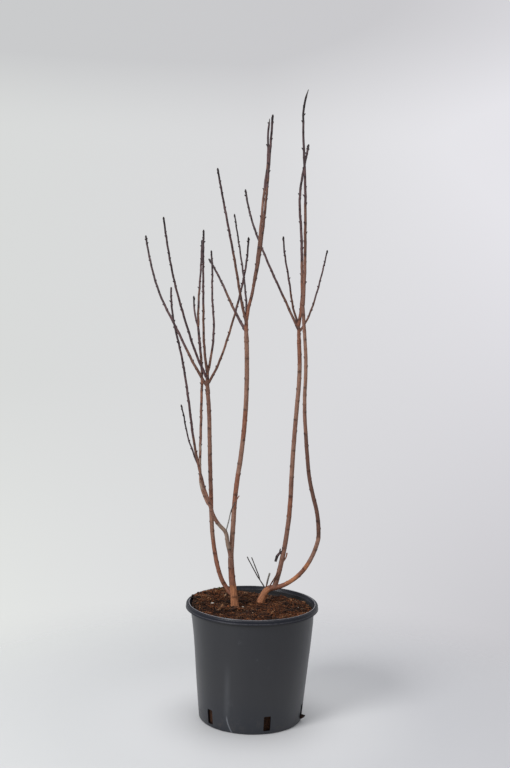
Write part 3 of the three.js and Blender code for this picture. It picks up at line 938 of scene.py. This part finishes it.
crowns = {
    "left_crown": wood(43, (7.9, 6.4), (-5, 1), (-2, -1), "brown umber",
                       carrier="left_stem", at=1, seed=21, twigs=[
        wood(339, (5.8, 3.9), (-35, -27, -30, -17, -11), (4, 16, 16), "umber plum plum dark dark", at=0.33),
        wood(331, (5.2, 3.7), (-28, -18, -16, -10, -7), (-13, -17, -18), "plum dark plum dark dark", at=0.69),
        wood(281, (5.4, 3.9), (-10, -1, -1, 0), (-9, -14, 0), "umber umber plum dark", at=0.92),
        wood(249, (5, 3.6), (13, 4, -7, 0, -7), (12, 13, 9), "brown plum plum dark", at=0.96),
        wood(315, (5.1, 3.6), (31, 18, 15, 11, 0), (-21, -22, -21), "umber brown umber plum dark", at=0.42),
    ]),
    "side_crown": wood(9, (7, 6.4), (-18, -16), (-9, -6), "brown",
                       carrier="side_branch", at=1, seed=22, twigs=[
        wood(365, (5.8, 5.4), (-39, -4, 0, -1, 0, -7, -7), (9, 17, 12, 7), "tan moss brown rust umber plum",
             at=1, twigs=[
                 wood(65, (4, 3.5), (-23, -7, -3), (15, 14), "plum dark", at=1),
                 wood(198, (4.9, 3.7), (-3, 2, -2), (27, 22), "umber plum dark", at=1),
             ]),
        wood(436, (5.8, 3.8), (-20, -13, -7, -9, -15, 1), (-7, -10, -7), "brown umber plum plum dark dark",
             at=1, twigs=[wood(127, (3.4, 3), (-24, -22, -11, -16), (8, 7), "dark dark tip", at=0.19)]),
    ]),
    "centre_crown": wood(46, (8.6, 7.2), (-4, 0), (1, 0), "tan rust",
                         carrier="centre_stem", at=1, seed=23, twigs=[
        wood(200, (6.2, 4), (-33, -25, -33), (34, 30), "plum umber plum dark", at=0.44),
        wood(306, (5.7, 3.9), (-15, -10, -12, -12, -11), (-10, -12, -16), "umber umber plum plum dark",
             at=0.81),
        wood(237, (4.2, 3.2), (0, -9, -10, -11), (22, 25), "dark dark tip", at=0.98),
        wood(68, (6.6, 6.4), (7, 14, 8), (2, 1), "rust umber", at=0.96, twigs=[
            wood(349, (6, 4.3), (8, 5, 4, 4, 7, -3, 7), (18, 11, 10), "umber umber brown umber plum dark",
                 at=1, thinTip=True),
            wood(331, (6.2, 4.5), (12, 6, 4, 3, 3), (-10, -6, -9), "umber umber umber umber plum dark", at=1),
        ]),
        wood(39, (2.8, 2.4), (-16, -9), (23, 24), "dark", at=0.96),
    ]),
    "right_crown": wood(40, (7.4, 6.2), (-2, -5), (2, 2), "rust umber",
                        carrier="right_stem", at=1, seed=24, twigs=[
        wood(326, (5.4, 4.1), (-25, -26, -22, -9), (15, 16, 16), "umber plum dark dark", at=0.65),
        wood(187, (4.6, 3.4), (-24, -9, -13, -4), (-17, -24), "umber plum dark", at=0.96),
        wood(368, (6.5, 4.6), (10, -2, -2, -6, 9, 11), (-4, 2, 12), "rust brown plum plum dark", at=0.9),
        wood(202, (4.4, 3.3), (36, 18, 14, 12), (25, 24), "brown umber plum dark", at=0.54),
    ]),
    "outer_crown": wood(408.8, (6.8, 4), (3.5, 0.5, -1.5, -1.5, -2, -4.5, -4, -1.5, 20), (-5, -8, -7),
                        "brown umber plum dark tip", carrier="outer_stem_upper", at=1, seed=25, thinTip=True),
}

leanSteps = 48


def along(stations, t):
    # a value read off evenly spaced stations, with t from 0 at the foot to 1 at the tip
    place = t * (len(stations) - 1)
    low = min(int(place), len(stations) - 2)
    return stations[low] + (stations[low + 1] - stations[low]) * (place - low)


def routeFrom(foot, limb):
    route = [Vector(foot)]
    for i in range(leanSteps):
        t = (i + 0.5) / leanSteps
        right, back = math.radians(along(limb["right"], t)), math.radians(along(limb["back"], t))
        step = Vector((math.sin(right) * math.cos(back), math.sin(back), math.cos(right) * math.cos(back)))
        route.append(route[i] + step * (limb["length"] / leanSteps))
    return route


def pointAt(route, t):
    place = t * (len(route) - 1)
    low = min(max(int(place), 0), len(route) - 2)
    return route[low].lerp(route[low + 1], place - low)


def directionAt(route, t):
    half = 0.5 / (len(route) - 1)
    return (pointAt(route, min(1, t + half)) - pointAt(route, max(0, t - half))).normalized()


def evenly(route, count):
    # the same route with its points set at even distances
    done = [0.0]
    for low, high in zip(route, route[1:]):
        done.append(done[-1] + (high - low).length)
    points, low = [], 0
    for i in range(count + 1):
        goal = done[-1] * i / count
        while low < len(route) - 2 and done[low + 1] < goal:
            low += 1
        points.append(route[low].lerp(route[low + 1], (goal - done[low]) / (done[low + 1] - done[low])))
    return points


def shootsOf(limb):
    return limb.get("dead", []) + limb.get("twigs", [])


def branchesOf(limb):
    return [limb] + [branch for shoot in shootsOf(limb) for branch in branchesOf(shoot)]


def lay(limb, foot):
    limb["route"] = routeFrom(foot, limb)
    for shoot in shootsOf(limb):
        shoot["isDead"] = "dead" in limb
        lay(shoot, pointAt(limb["route"], shoot["at"]))


laid = {**limbs, **crowns}
for limb in laid.values():
    lay(limb, pointAt(laid[limb["carrier"]]["route"], limb["at"]) if "carrier" in limb else limb["foot"])

# The outer stem's two parts are one piece of wood
outerStem, outerUpper = limbs["outer_stem_lower"], limbs.pop("outer_stem_upper")
outerStem["route"] = evenly(outerStem["route"] + outerUpper["route"][1:], 4 * leanSteps)
outerStem["length"] += outerUpper["length"]
outerStem["girth"] = (outerStem["girth"][0], outerUpper["girth"][1])
print("limbs are laid")

# Bark and buds
growth = {
    "seed": 40,
    "sidesThick": 22, "sidesThin": 10, "thick": 6.2,  # a limb thicker than this gets more sides
    "step": 2.2, "knotRings": (-1.7, -0.9, -0.3, 0.3, 0.9, 1.7), "ringsApart": 0.45,
    "knotEvery": (24, 17),  # between buds, on a stem at its foot and tip
    "budEvery": (17, 8.5),  # and on a twig
    "budApart": (22, 15),  # and on one with a thin tip
    "slim": 0.94, "slimReach": 60,  # a twig is thinner between its buds than the source's plain one
    "tipFree": 4, "tipBud": 5.8, "tipBudFrom": 45,  # a shorter twig ends without a bud
    "turn": 137.5, "firstFrom": 0.6, "spacing": (0.75, 0.5),  # the least share of a gap, and what chance adds
    "zigzag": 0.6, "zigzagGirth": 4.2, "stemZigzag": 0.6,
    "flareReach": 9, "collar": 0.22, "collarReach": 11,
    "thinTip": 15, "thinTipShare": 0.62,  # length over which a thin tip narrows, and by how much
    "fullRelief": 4,  # a limb of this radius or more has all of its relief
    "ridge": 0.16, "ridgeWidth": 0.9,
    "shelf": 0.7, "shelfWidth": 1.9, "shelfThin": 0.4,  # its share on the thinnest twig
    "ridgeReach": 5, "scarReach": 6,  # past this, a knot's ridge and scar are too faint to work out
    "furrow": 0.34, "furrowFade": 160, "furrowAll": 0.12, "furrowGrain": (1.9, 0.045),
    "fine": 0.16, "fineAll": 0.05, "fineGrain": (4.6, 0.13),
    "scarFaint": 0.14, "scarFaintWidth": 1.2, "scarWidth": 2.6,
    "jag": 5, "jagGrain": (1.7, 40),  # how far the tone of one length of bark runs into the next
    "tintChance": 0.9, "darkTip": 15, "ashTip": 9,
    "dome": ((0.5, 0.87), (0.85, 0.53)), "broken": ((0.12, 0.8),),  # rise and width, at a tip's end
    "sliver": 0.03,
    "forkRings": 2, "forkPasses": 4,  # how far round its seam a fork is smoothed, and how often
    "crownReach": 500,  # a crown's way from the trunk's foot, for the furrows
    "crownSeed": 200, "crownSalt": 300.0,  # added to a crown's own
}


def knotsOn(limb, draw):
    # buds stand by turns, closer together towards the tip
    knots = []
    turn = draw() * 360
    length = limb["length"]
    every = growth["budEvery" if limb["isTwig"] else "knotEvery"]
    if limb.get("thinTip"):
        every = growth["budApart"]
    least, chance = growth["spacing"]
    place = every[1] * (growth["firstFrom"] + draw())
    while place < length - growth["tipFree"] - growth["tipBud"]:
        knots.append((place, math.radians(turn)))
        turn += growth["turn"]
        place += (every[0] + (every[1] - every[0]) * place / length) * (least + chance * draw())
    return knots


def endsInBud(limb):
    plain = limb["isTwig"] and not limb.get("twigs") and not limb.get("thinTip")
    return plain and limb["length"] > growth["tipBudFrom"]


def stationsOn(limb):
    # places along a limb where it gets a ring: even steps, and more of them at each knot
    length = limb["length"] - (growth["tipBud"] if endsInBud(limb) else 0)
    count = max(2, round(length / growth["step"]))
    places = [length * i / count for i in range(count + 1)]
    for place, _ in limb["knots"]:
        places += [place + shift for shift in growth["knotRings"]]
    kept = [0.0]
    for place in sorted(p for p in places if 0 <= p <= length):
        if place - kept[-1] > growth["ringsApart"]:
            kept.append(place)
    kept[-1] = length
    return kept


def framesAlong(limb):
    # place, centre and direction, with two axes square to it that turn as little as they can
    side = Vector((0, 1, 0))
    frames = []
    for place in limb["stations"]:
        t = place / limb["length"]
        direction = directionAt(limb["route"], t)
        side = (side - direction * side.dot(direction)).normalized()
        across = side.cross(direction)
        centre = pointAt(limb["route"], t) + bendAt(limb, place, side, across)
        frames.append((place, centre, direction, side, across))
    return frames


def bendAt(limb, place, side, across):
    # a twig bends a little away from each bud, so that it runs in a slight zigzag
    size = growth["zigzag"] * min(1, growth["zigzagGirth"] / limb["girth"][0])
    size *= 1 if limb["isTwig"] else growth["stemZigzag"]
    stops = [(0.0, None), *limb["knots"], (limb["length"], None)]
    shift = Vector((0, 0, 0))
    for (low, lowTurn), (high, highTurn) in zip(stops, stops[1:]):
        if low <= place <= high:
            share = (place - low) / max(high - low, 0.001)
            for turn, weight in ((lowTurn, 1 - share), (highTurn, share)):
                if turn is not None:
                    shift -= (side * math.cos(turn) + across * math.sin(turn)) * (size * weight)
            break
    return shift


def girthAt(limb, place):
    # the radius at a place along a limb
    g = growth
    t = place / limb["length"]
    foot, tip = limb["girth"]
    radius = (foot + (tip - foot) * t) / 2
    radius += limb.get("flare", 0) * math.exp(-place / g["flareReach"])
    if "at" in limb and not limb.get("isDead"):
        radius += g["collar"] * foot / 2 * math.exp(-place / g["collarReach"])
    if limb["isTwig"]:
        radius *= 1 - (1 - g["slim"]) * min(1, place / g["slimReach"])
    if limb.get("thinTip"):
        radius *= 1 - g["thinTipShare"] * max(0, 1 - (limb["length"] - place) / g["thinTip"])
    return radius


def facing(angle, turn):
    # 1 on the side that a bud stands on, and 0 behind
    return max(0, math.cos(angle - turn)) ** 2


def roughAt(limb, place, angle, grain):
    # noise round and along a limb
    turns, steps = grain
    spot = (math.cos(angle) * turns, math.sin(angle) * turns, place * steps + limb["salt"])
    return noise.noise(Vector(spot))


def reliefAt(limb, place, angle, radius):
    # how far the bark stands out: ridges and shelves at the knots, furrows on old wood
    g = growth
    thin, shelfThin = min(1, radius / g["fullRelief"]), g["shelfThin"]
    height = 0.0
    for knot, turn in limb["knots"]:
        away = place - knot
        if abs(away) < g["ridgeReach"]:
            height += g["ridge"] * thin * bell(away, g["ridgeWidth"])
            shelf = g["shelf"] * (shelfThin + (1 - shelfThin) * thin)
            height += shelf * facing(angle, turn) * bell(away, g["shelfWidth"])
    old = math.exp(-(limb["reach"] + place) / g["furrowFade"])
    height += (g["furrow"] * old + g["furrowAll"] * thin) * roughAt(limb, place, angle, g["furrowGrain"])
    return height + (g["fine"] * old + g["fineAll"]) * roughAt(limb, place, angle, g["fineGrain"])


def scarAt(limb, place, angle):
    # how dark the bark is at a knot: faint all round, and dark where the bud sits
    g, dark = growth, 0.0
    for knot, turn in limb["knots"]:
        away = place - knot
        if abs(away) < g["scarReach"]:
            faint = g["scarFaint"] * bell(away, g["scarFaintWidth"])
            dark = max(dark, faint, facing(angle, turn) * bell(away, g["scarWidth"]))
    return dark


def tintsAlong(limb, draw):
    # one bark tone between each two knots, from the limb's own tints and a little chance
    tints, length = limb["tints"], limb["length"]
    edges = [place for place, _ in limb["knots"]] + [length + 1]
    steps = []
    for low, high in zip([0.0] + edges, edges):
        share = (low + high) / 2 / length + (draw() - 0.5) * growth["tintChance"] / len(tints)
        steps.append(tints[min(max(int(share * len(tints)), 0), len(tints) - 1)])
    if endsInBud(limb):
        edges.insert(-1, length - growth["darkTip"])
        steps.append("tip")
    if limb.get("thinTip"):
        edges.insert(-1, length - growth["ashTip"])
        steps.append("ash")
    return lambda place: tintNames.index(steps[min(sum(place > edge for edge in edges), len(steps) - 1)])


def prepare(limb, draw, reach, salt, isTwig):
    # what a limb's mesh needs to know: the reach is its foot's way from the trunk's, for the furrows,
    # and the salt sets it apart from the others in the noise
    limb["isTwig"] = isTwig
    limb["salt"] = salt
    limb["reach"] = reach
    limb["knots"] = knotsOn(limb, draw)
    limb["stations"] = stationsOn(limb)
    limb["tintAt"] = tintsAlong(limb, draw)


def tubeOf(limb, number):
    # a ring of edges extruded from station to station along the limb
    bm = bmesh.new()
    spoke = bm.verts.layers.float.new("spoke")
    grain = bm.verts.layers.float_vector.new("grain")
    scar = bm.verts.layers.float.new("scar")
    member = bm.faces.layers.int.new("member")
    around = growth["sidesThick"] if limb["girth"][0] > growth["thick"] else growth["sidesThin"]
    bmesh.ops.create_circle(bm, cap_ends=True, segments=around, radius=1)
    for vert in bm.verts:
        vert[spoke] = math.atan2(vert.co.y, vert.co.x)
    ring, edges = list(bm.verts), list(bm.edges)
    rows = [(frame, 0.0, 1.0) for frame in framesAlong(limb)]
    last = rows[-1][0]
    rows += [(last, rise, width) for rise, width in growth["broken" if limb.get("isDead") else "dome"]]
    jagTurns, jagLength = growth["jagGrain"]
    for i, ((place, centre, direction, side, across), rise, width) in enumerate(rows):
        if i:
            ring, edges = extruded(bm, edges)
            for edge in edges:
                angle = edge.verts[0][spoke]
                spot = (math.cos(angle) * jagTurns, math.sin(angle) * jagTurns, place / jagLength)
                tint = limb["tintAt"](place + growth["jag"] * noise.noise(Vector(spot)))
                for face in edge.link_faces:
                    face.material_index = tint
        thick = girthAt(limb, place)
        for vert in ring:
            angle = vert[spoke]
            radius = (thick + reliefAt(limb, place, angle, thick)) * width
            out = side * math.cos(angle) + across * math.sin(angle)
            vert.co = centre + out * radius + direction * (rise * thick)
            vert[grain] = (math.cos(angle) * thick, math.sin(angle) * thick, place + limb["salt"])
            vert[scar] = scarAt(limb, place, angle)
    bmesh.ops.contextual_create(bm, geom=edges)
    bm.faces.ensure_lookup_table()
    for face in bm.faces:
        face[member] = number
    bm.faces[-1].material_index = limb["tintAt"](limb["length"])
    bmesh.ops.recalc_face_normals(bm, faces=bm.faces)
    return bm


def softenForks(bm):
    # limbs are fused by a Boolean, and the seam between each two is then smoothed into a fork
    bmesh.ops.remove_doubles(bm, verts=bm.verts, dist=growth["sliver"])
    member = bm.faces.layers.int.get("member")
    near = set()
    for edge in bm.edges:
        if len({face[member] for face in edge.link_faces}) > 1:
            near.update(edge.verts)
    for _ in range(growth["forkRings"]):
        near.update(edge.other_vert(vert) for vert in list(near) for edge in vert.link_edges)
    for _ in range(growth["forkPasses"]):
        bmesh.ops.smooth_vert(bm, verts=list(near), factor=0.5, use_axis_x=True, use_axis_y=True,
                              use_axis_z=True)


# Bark tones, and the darker tone of each one's streaks
barkTones = {
    "old": (tone(190, 128, 91), tone(120, 77, 54)),
    "tan": (tone(155, 117, 99), tone(107, 78, 65)),
    "brown": (tone(143, 104, 88), tone(97, 68, 56)),
    "rust": (tone(147, 98, 77), tone(98, 62, 48)),
    "umber": (tone(119, 85, 72), tone(78, 54, 45)),
    "moss": (tone(160, 137, 121), tone(110, 91, 79)),
    "plum": (tone(104, 79, 79), tone(64, 47, 47)),
    "dark": (tone(90, 71, 72), tone(54, 43, 45)),
    "tip": (tone(58, 48, 49), tone(33, 27, 28)),
    "ash": (tone(98, 93, 89), tone(58, 54, 51)),
    "silver": (tone(146, 142, 136), tone(100, 95, 88)),
}
tintNames = list(barkTones)

barkLook = {
    "shine": 0.22, "rough": 0.5, "roughStreaks": 0.25, "bump": 0.35,
    # stretch along the limb, scale and detail of the noise, where it sets in and is full, and its share
    "streaks": {"stretch": (1, 1, 0.07), "noise": (0.85, 4, 0.6), "from": (0.35, 0.66), "share": 0.7},
    "blotch": {"stretch": (1, 1, 0.5), "noise": (0.22, 3), "from": (0.35, 0.7), "share": 0.3},
    "specks": {"stretch": (1, 1, 0.7), "noise": 0.55, "from": (0.1, 0.2), "share": 0.45},
    "pale": (1.5, 0.02),  # a speck's tone is the bark's, so many times, and this much more
    "scar": (0.75, 0.35),  # strength, and share of the dark tone
}


def barkFinish(name, colour, dark):
    look = barkLook
    streaky, blotchy, speckled = look["streaks"], look["blotch"], look["specks"]
    finish = Finish(name + "Bark", Specular_IOR_Level=look["shine"])
    streaks = finish.grainy(finish.grain(streaky["stretch"]), *streaky["noise"])
    blotch = finish.grainy(finish.grain(blotchy["stretch"]), *blotchy["noise"])
    place = finish.grain(speckled["stretch"])
    specks = finish.node("TexVoronoi", None, {"Vector": place, "Scale": speckled["noise"]})
    scar = finish.node("Attribute", {"attribute_name": "scar"}, out=2)
    times, more = look["pale"]
    pale = [min(1, channel * times + more) for channel in colour[:3]] + [1]
    share = streaks.between(*streaky["from"]) * streaky["share"]
    share = share + blotch.between(*blotchy["from"]) * blotchy["share"]
    body = finish.blend(share, dark, colour)
    body = finish.blend((1 - specks.between(*speckled["from"])) * speckled["share"], body, pale)
    strength, left = look["scar"]
    body = finish.blend(scar * strength, body, [channel * left for channel in dark[:3]] + [1])
    finish.use(Base_Color=body, Roughness=look["rough"] + streaks * look["roughStreaks"])
    finish.bump(streaks * streaky["share"] + blotch * blotchy["share"], look["bump"])
    return finish


barkFinishes = [barkFinish(name, *tones) for name, tones in barkTones.items()]


def fusedLimbs(name, members, nodes):
    group = workGroup(name + "Work")
    tubes = [objectFrom(tubeOf(limb, i), f"{name}{i}", group) for i, limb in enumerate(members)]
    for tube in tubes:
        for finish in barkFinishes:
            tube.data.materials.append(finish.material)
    base = tubes[0]
    if len(tubes) > 1:
        group.objects.unlink(base)
        scene.collection.objects.link(base)
        mesh = combined(base, group, "UNION")
    else:
        mesh = base.data.copy()
        bpy.data.objects.remove(base)
        bpy.data.collections.remove(group)
    bm = opened(mesh, growth["sliver"])
    softenForks(bm)
    finishPiece(name, meshFrom(bm, name), barkFinishes, nodes)


def saltOf(i, k):
    # a number of its own for each limb of a group
    return 31.0 * i + 7.0 * k


def makeBark():
    draw = seeded(growth["seed"])
    reachOf = {}
    for i, (name, limb) in enumerate(limbs.items()):
        carrier = limb.get("carrier")
        reachOf[name] = reachOf[carrier] + limbs[carrier]["length"] * limb["at"] if carrier else 0
        for k, part in enumerate(branchesOf(limb)):
            prepare(part, draw, reachOf[name], saltOf(i, k), False)
    left = ["left_trunk", "centre_stem", "side_branch", "left_stem"]
    right = ["right_trunk", "right_stem", "outer_stem_lower"]
    for name, side, extra in (("left_bark", left, []), ("right_bark", right, ["outer_stem_upper"])):
        members = [part for key in side for part in branchesOf(limbs[key])]
        fusedLimbs(name, members, side + extra)


def makeCrowns():
    for i, (name, crown) in enumerate(crowns.items()):
        draw = seeded(crown["seed"] + growth["crownSeed"])
        members = branchesOf(crown)
        for k, part in enumerate(members):
            prepare(part, draw, growth["crownReach"], growth["crownSalt"] + saltOf(i, k), True)
        fusedLimbs(name.replace("crown", "twigs"), members, [name])


makeBark()
print("trunks and stems are grown")
makeCrowns()
print("crowns are grown")

buds = {
    "crownSeed": 300,  # added to a crown's own
    "stemSeed": 77,
    "sides": 7, "rows": 6, "blunt": 0.45, "point": 0.45, "ribs": (0.07, 3, 5), "sunk": 0.12,
    "long": (3.6, 5.2), "wide": 0.48, "widthChance": 0.3,  # width is a share of the length
    "lean": 34, "leanVaries": 14,
    "stand": 0.8,  # how far out on the twig's own radius a bud sits
    "bold": 1.25,  # larger on a twig with a thin tip
    "darkFrom": 0.6,
    "tipLong": (6.6, 8.2), "tipWide": 4.8, "tipSunk": 0.7,
    "tipSides": 3, "tipSideFrom": 1, "tipSideStep": 2.2, "tipSideTurn": 6.3,
    "tipSideLean": 12, "tipSideLong": 0.55, "tipSideWide": 0.28,
    "stemShare": 0.7, "stemLong": (1.6, 3.0), "stemWide": 0.9, "stemLean": 46, "stemUp": 0.8,
    "stemFrom": 60,  # only on limbs longer than this
}


def budShape():
    # a pointed oval of overlapping scales, its foot at the origin and one unit long
    b = buds
    depth, ribs, twist = b["ribs"]
    bm = bmesh.new()
    bmesh.ops.create_uvsphere(bm, u_segments=b["sides"], v_segments=b["rows"], radius=0.5)
    for vert in bm.verts:
        rise = vert.co.z + 0.5
        point = 1 - b["point"] * max(0, rise - b["blunt"])
        ribbed = 1 + depth * math.cos(math.atan2(vert.co.y, vert.co.x) * ribs + rise * twist)
        vert.co.x *= point * ribbed
        vert.co.y *= point * ribbed
        vert.co.z = rise - b["sunk"]
    return shapeOf(bm)


def within(span, draw):
    return span[0] + (span[1] - span[0]) * draw()


def stood(base, axis, wide, long):
    # a matrix that stands a bud on its foot, along an axis
    upright = axis.to_track_quat("Z", "Y").to_matrix().to_4x4()
    return Matrix.Translation(base) @ upright @ Matrix.Diagonal((wide, wide, long, 1))


def budPlace(limb, place, turn, long, wide, lean, draw):
    direction = directionAt(limb["route"], min(1, place / limb["length"]))
    ringPlace, centre, _, side, across = min(limb["frames"], key=lambda f: abs(f[0] - place))
    out = side * math.cos(turn) + across * math.sin(turn)
    lean = math.radians(lean + (draw() - 0.5) * buds["leanVaries"])
    axis = direction * math.cos(lean) + out * math.sin(lean)
    base = centre + direction * (place - ringPlace) + out * (girthAt(limb, place) * buds["stand"])
    return stood(base, axis, wide, long)


def makeBuds():
    b = buds
    shapes = [budShape()]
    dark, tip = barkFinishes[tintNames.index("dark")], barkFinishes[tintNames.index("tip")]
    for name, crown in crowns.items():
        draw = seeded(crown["seed"] + b["crownSeed"])
        places = []
        for limb in branchesOf(crown):
            limb["frames"] = framesAlong(limb)
            for place, turn in limb["knots"]:
                long = within(b["long"], draw) * (b["bold"] if limb.get("thinTip") else 1)
                wide = long * b["wide"] * (1 - b["widthChance"] / 2 + b["widthChance"] * draw())
                matrix = budPlace(limb, place, turn, long, wide, b["lean"], draw)
                places.append((0, matrix, int(place / limb["length"] > b["darkFrom"])))
            if endsInBud(limb):
                long = within(b["tipLong"], draw)
                end, centre, direction = limb["frames"][-1][:3]
                wide = (limb["girth"][1] + b["tipWide"]) / 2
                base = centre - direction * b["tipSunk"]
                places.append((0, stood(base, direction, wide, long), 1))
                for k in range(b["tipSides"]):
                    turn, low = draw() * b["tipSideTurn"], end - b["tipSideFrom"] - b["tipSideStep"] * k
                    matrix = budPlace(limb, low, turn, long * b["tipSideLong"], long * b["tipSideWide"],
                                      b["tipSideLean"], draw)
                    places.append((0, matrix, 1))
        scattered(name.replace("crown", "buds"), shapes, places, [dark, tip])
    draw = seeded(b["stemSeed"])
    places = []
    for limb in limbs.values():
        if limb["length"] < b["stemFrom"]:
            continue
        limb["frames"] = framesAlong(limb)
        for place, turn in limb["knots"]:
            if draw() < b["stemShare"]:
                long, up = within(b["stemLong"], draw), place + b["stemUp"]
                matrix = budPlace(limb, up, turn, long, long * b["stemWide"], b["stemLean"], draw)
                places.append((0, matrix, 0))
    scattered("stem_buds", shapes, places, [dark])


makeBuds()
print("buds are set")
